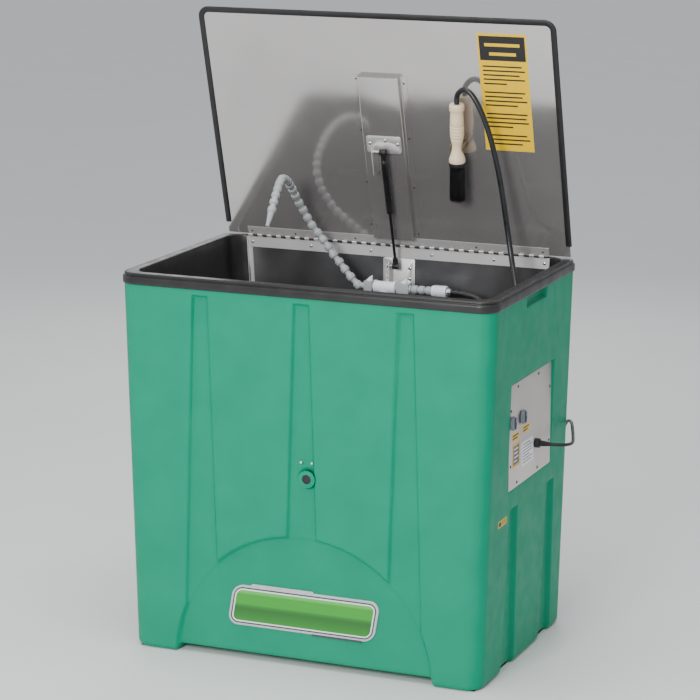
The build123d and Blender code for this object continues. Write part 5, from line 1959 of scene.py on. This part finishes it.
@dataclass
class ControlPanel:
    """Steel plate in the side pocket with two knobs, plain labels, screws and the cord's gland."""

    x: float = 0.5205
    half: float = 0.17
    span: tuple[float, float] = (0.505, 0.79)
    knobs: tuple[tuple[str, float, float], ...] = (("timer_knob", -0.158, 0.69), ("heat_knob", -0.076, 0.69))

    def build(self) -> None:
        """Make the plate, the knobs and everything on the plate."""
        self.build_plate()
        places = [(self.x + 0.0002, y, z) for z, y in ((0.778, -0.105), (0.778, 0.062), (0.517, -0.105), (0.517, 0.062),
                                                       (0.722, -0.158), (0.571, -0.158), (0.722, 0.158),
                                                       (0.571, 0.158))]
        screws("panel_screw_heads", places, (1.0, 0.0, 0.0), 0.0044, 0.0021, Finish.DARK_ZINC_AND_SLOT_SHADE, "tank",
               "control_panel_screws")
        for node, y, z in self.knobs:
            self.build_knob(node, y, z)
        self.build_labels()
        self.build_sticker()
        softened("cord_outlet", Finish.CORD_RUBBER, 0.0008)

    def build_plate(self) -> None:
        """The plate, with rounded corners and a softened face edge."""
        low, high = self.span
        loops = []
        for inset, back in ((0.0, 0.0015), (0.0, 0.0003), (0.0003, 0.0)):
            flat = rounded_loop(-self.half + inset, self.half - inset, low + inset, high - inset, 0.003, 0.0, steps=5)
            loops.append(np.stack([np.full(len(flat), self.x - back), flat[:, 0], flat[:, 1]], axis=-1))
        stand_in(stack("panel_plate", loops, Finish.PANEL_STEEL), "tank", "control_panel_plate")

    def build_knob(self, node: str, y: float, z: float) -> None:
        """A skirted knob with a grip bar across it and a pale pointer line.

        Args:
            node: The CAD node's name.
            y: Its place across the plate.
            z: Its height.
        """
        disc = turned(node + "_disc", (self.x + 0.0047, y, z), (1, 0, 0),
                      [(0, 0.018), (0.0004, 0.0194), (0.0016, 0.0195), (0.003, 0.0188), (0.0062, 0.0182),
                       (0.007, 0.0176), (0.0074, 0.0164), (0.0074, 0.006)], Finish.KNOB_FACE, sides=56)
        grip = block(node + "_grip", (self.x + 0.01, y - 0.0033, z - 0.015),
                     (self.x + 0.0155, y + 0.0033, z + 0.015),
                     0.0016, Finish.KNOB_GREY)
        line = block(node + "_line", (self.x + 0.0152, y - 0.0007, z + 0.003),
                     (self.x + 0.0157, y + 0.0007, z + 0.0132),
                     0.0001, Finish.WHITE_FILM)
        stand_in(joined(node + "_turned", [disc, grip, line]), node, node)

    def plate_film(self, name: str, y0: float, y1: float, z0: float, z1: float, out: float,
                   finish: Finish) -> bpy.types.Object:
        """A thin film on the plate."""
        corners = [Vector((self.x + out, y, z)) for y, z in ((y0, z0), (y1, z0), (y1, z1), (y0, z1))]
        return slab(name, corners, Vector((1, 0, 0)), 0.0004 if out < 0.00045 else 0.00006, finish)

    def build_labels(self) -> None:
        """Two small yellow strips, a large bordered label and a white one, all with plain bars."""
        rows = [(-0.148, -0.093, 0.636, 0.655, 0.0004, Finish.YELLOW_FILM),
                (-0.143, -0.098, 0.6475, 0.6515, 0.0005, Finish.BLACK_INK),
                (-0.143, -0.106, 0.6395, 0.6435, 0.0005, Finish.BLACK_INK),
                (-0.064, -0.008, 0.64, 0.659, 0.0004, Finish.YELLOW_FILM),
                (-0.059, -0.013, 0.6515, 0.6555, 0.0005, Finish.BLACK_INK),
                (-0.059, -0.022, 0.6435, 0.6475, 0.0005, Finish.BLACK_INK),
                (-0.143, -0.084, 0.563, 0.626, 0.0004, Finish.PANEL_YELLOW),
                (-0.137, -0.09, 0.569, 0.62, 0.0005, Finish.GREY_INK),
                (-0.067, 0.026, 0.548, 0.615, 0.0004, Finish.WHITE_FILM)]
        for k, end in enumerate((0.0, 0.014, 0.008, 0.018, -0.006, 0.018, 0.01)):
            z = 0.607 - 0.0082 * k
            rows.append((-0.06, end, z - 0.0014, z + 0.0014, 0.0005, Finish.SLATE_INK))
        for k, end in enumerate((-0.098, -0.102, -0.096, -0.108)):
            z = 0.611 - 0.011 * k
            rows.append((-0.131, end, z - 0.0016, z + 0.0016, 0.0006, Finish.WHITE_FILM))
        films = [self.plate_film(f"panel_film_{k}", *row) for k, row in enumerate(rows)]
        stand_in(joined("panel_films", films), "tank", "panel_labels")

    def build_sticker(self) -> None:
        """A small yellow sticker on the side, below the pocket, with plain bars."""
        source = frame["nodes"]["side_sticker"]
        points = [source.matrix_world @ v.co for v in source.data.vertices]
        low, high = [min(p[k] for p in points) for k in range(3)], [max(p[k] for p in points) for k in range(3)]
        high[2] = low[2] + 0.018
        slope = 0.027 / 1.018
        films = []
        rows = [(0.0, 1.0, 0.0, 1.0, 0.0, Finish.YELLOW_FILM), (0.06, 0.36, 0.16, 0.84, 0.0001, Finish.BLACK_INK)]
        rows += [(0.43, 0.94, s - 0.05, s + 0.05, 0.0001, Finish.BLACK_INK) for s in (0.74, 0.5, 0.26)]
        for k, (s0, s1, t0, t1, out, finish) in enumerate(rows):
            corners = []
            for s, t in ((s0, t0), (s1, t0), (s1, t1), (s0, t1)):
                z = low[2] + (high[2] - low[2]) * t
                x = 0.5335 - slope * (1.018 - z) + 0.0005 + out
                corners.append(Vector((x, low[1] + (high[1] - low[1]) * s, z)))
            films.append(slab(f"sticker_{k}", corners, Vector((1, 0, 0)), 0.0005 if k == 0 else 0.00006, finish))
        stand_in(joined("side_sticker_film", films), "tank", "side_sticker")


# ---- front fittings


@dataclass
class FrontFittings:
    """The button in its bezel, two small screws, and the blank name badge."""

    button: tuple[float, float] = (0.015, 0.529)
    badge_z: float = 0.155
    badge_size: tuple[float, float] = (0.428, 0.114)
    badge_lean: float = 0.17
    badge_proud: float = 0.0015

    def build(self) -> None:
        """Make the bezel, the button, the screws and the badge."""
        dress(Finish.GREEN_BODY, "button_bezel")
        softened("front_button", Finish.PLUG_BLACK, 0.001, segments=3)
        x, z = self.button
        ring = turned("button_ring", (x, -0.3392, z), (0, -1, 0),
                      [(0.0, 0.0125), (0.0, 0.0212), (0.001, 0.0216), (0.0026, 0.0206), (0.004, 0.0185),
                       (0.005, 0.016), (0.0052, 0.014), (0.0046, 0.0128), (0.0, 0.0125)], Finish.GREEN_BODY,
                      sides=56)
        detail(ring, "tank", "green_body")
        screws("button_screw_heads", [(x - 0.0155, -0.3438, 0.5745), (x + 0.0155, -0.3438, 0.5745)],
               (0.0, -1.0, 0.0), 0.0042, 0.002, Finish.ZINC, "tank", "button_screws")
        self.build_badge()

    def badge_loop(self, inset: float, y: float) -> np.ndarray:
        """The badge's outline at a depth, leaning a little to the right with big rounded corners."""
        half_w, half_h = self.badge_size[0] / 2 - inset, self.badge_size[1] / 2 - inset
        flat = rounded_loop(-half_w, half_w, -half_h, half_h, max(0.03 - inset, 0.004), 0.0, steps=10)
        x = flat[:, 0] + flat[:, 1] * self.badge_lean
        return np.stack([x, np.full(len(flat), y - self.badge_proud), flat[:, 1] + self.badge_z], axis=-1)

    def badge_tab(self, name: str, x0: float, x1: float, z0: float, z1: float, finish: Finish) -> bpy.types.Object:
        """A flat tab along the badge's edge, with slanted ends."""
        outline = ((x0, z0), (x1, z0), (x1 - 0.006, z1), (x0 + 0.006, z1))
        corners = [Vector((x, -0.3327 - self.badge_proud, self.badge_z + z)) for x, z in outline]
        return slab(name, corners, Vector((0, -1, 0)), 0.0025, finish)

    def build_badge(self) -> None:
        """Silver frame, dark outline, white inner line and a green blank face, with two plain tabs; the lower tab is
        dark as a painted shadow under the badge's lower edge.
        """
        frame_loops = [self.badge_loop(0.0, -0.3285), self.badge_loop(0.0, -0.332), self.badge_loop(0.0012, -0.3327),
                       self.badge_loop(0.004, -0.3331), self.badge_loop(0.0075, -0.3329)]
        silver = stack("badge_frame", frame_loops, Finish.BADGE_SILVER, sharp=30.0)
        layers = ((0.006, 0.0102, -0.33314, Finish.BADGE_LINE), (0.01, 0.014, -0.3332, Finish.WHITE_FILM))
        rings = [stack(f"badge_ring_{k}", [self.badge_loop(outer, -0.3322), self.badge_loop(outer, y),
                                           self.badge_loop(inner, y), self.badge_loop(inner, -0.3322)], finish)
                 for k, (outer, inner, y, finish) in enumerate(layers)]
        face = stack("badge_face", [self.badge_loop(0.0138, -0.3322), self.badge_loop(0.0138, -0.33322),
                                    self.badge_loop(0.017, -0.33328), self.badge_loop(0.04, -0.33336)],
                     Finish.BADGE_GREEN)
        # The lower tab takes the dark line finish: a painted shadow under the badge's lower edge.
        tabs = [self.badge_tab("badge_tab_top", -0.155, 0.035, 0.05, 0.0625, Finish.BADGE_SILVER),
                self.badge_tab("badge_tab_low", 0.165, 0.03, -0.05, -0.0615, Finish.BADGE_LINE)]
        stand_in(joined("name_badge", [silver, *rings, face, *tabs]), "tank", "nameplate")


# ---- inside the tank


@dataclass
class Inside:
    """The pump, the heater, the switch box and the supply hose, out of sight under the sink."""

    def build(self) -> None:
        """Round and dress the hidden parts."""
        softened("pump_housing", Finish.PUMP_BLACK, 0.0015)
        dress(Finish.GRID_STEEL, "heater_element")
        softened("control_box", Finish.BOX_GREY, 0.0015)
        dress(Finish.HOSE_RUBBER, "supply_hose")


# ---- everything


def write_sizes(before: dict, after: dict) -> None:
    """Turn the overall sizes before and after the build into plain lists; the result is not kept."""
    {"before": plain(before), "after": plain(after)}


def plain(value: object) -> object:
    """The same value as plain lists and numbers."""
    if isinstance(value, dict):
        return {key: plain(item) for key, item in value.items()}
    if isinstance(value, (list, tuple, Vector)):
        return [plain(item) for item in value]
    return value if isinstance(value, (int, float, str, bool)) or value is None else str(value)


def main() -> None:
    """Build the whole machine."""
    logging.basicConfig(level=logging.INFO, format="%(name)s: %(message)s")
    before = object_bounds()
    trees.update(screws=screw_tree(), dabs=dab_tree(), bristles=bristle_tree(), bars=bar_tree())
    Studio().build()
    PowerCord().build()
    brush = Brush()
    BrushHose().build(brush, brush.build())
    for assembly in (Cabinet(), Sink(), Hinge(), Lid(), GasStrut(), Manifold(), Spout(), ControlPanel(),
                     FrontFittings(), Inside()):
        assembly.build()
        log.info("%s built", type(assembly).__name__)
    write_sizes(before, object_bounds())


if __name__ == "__main__":
    main()
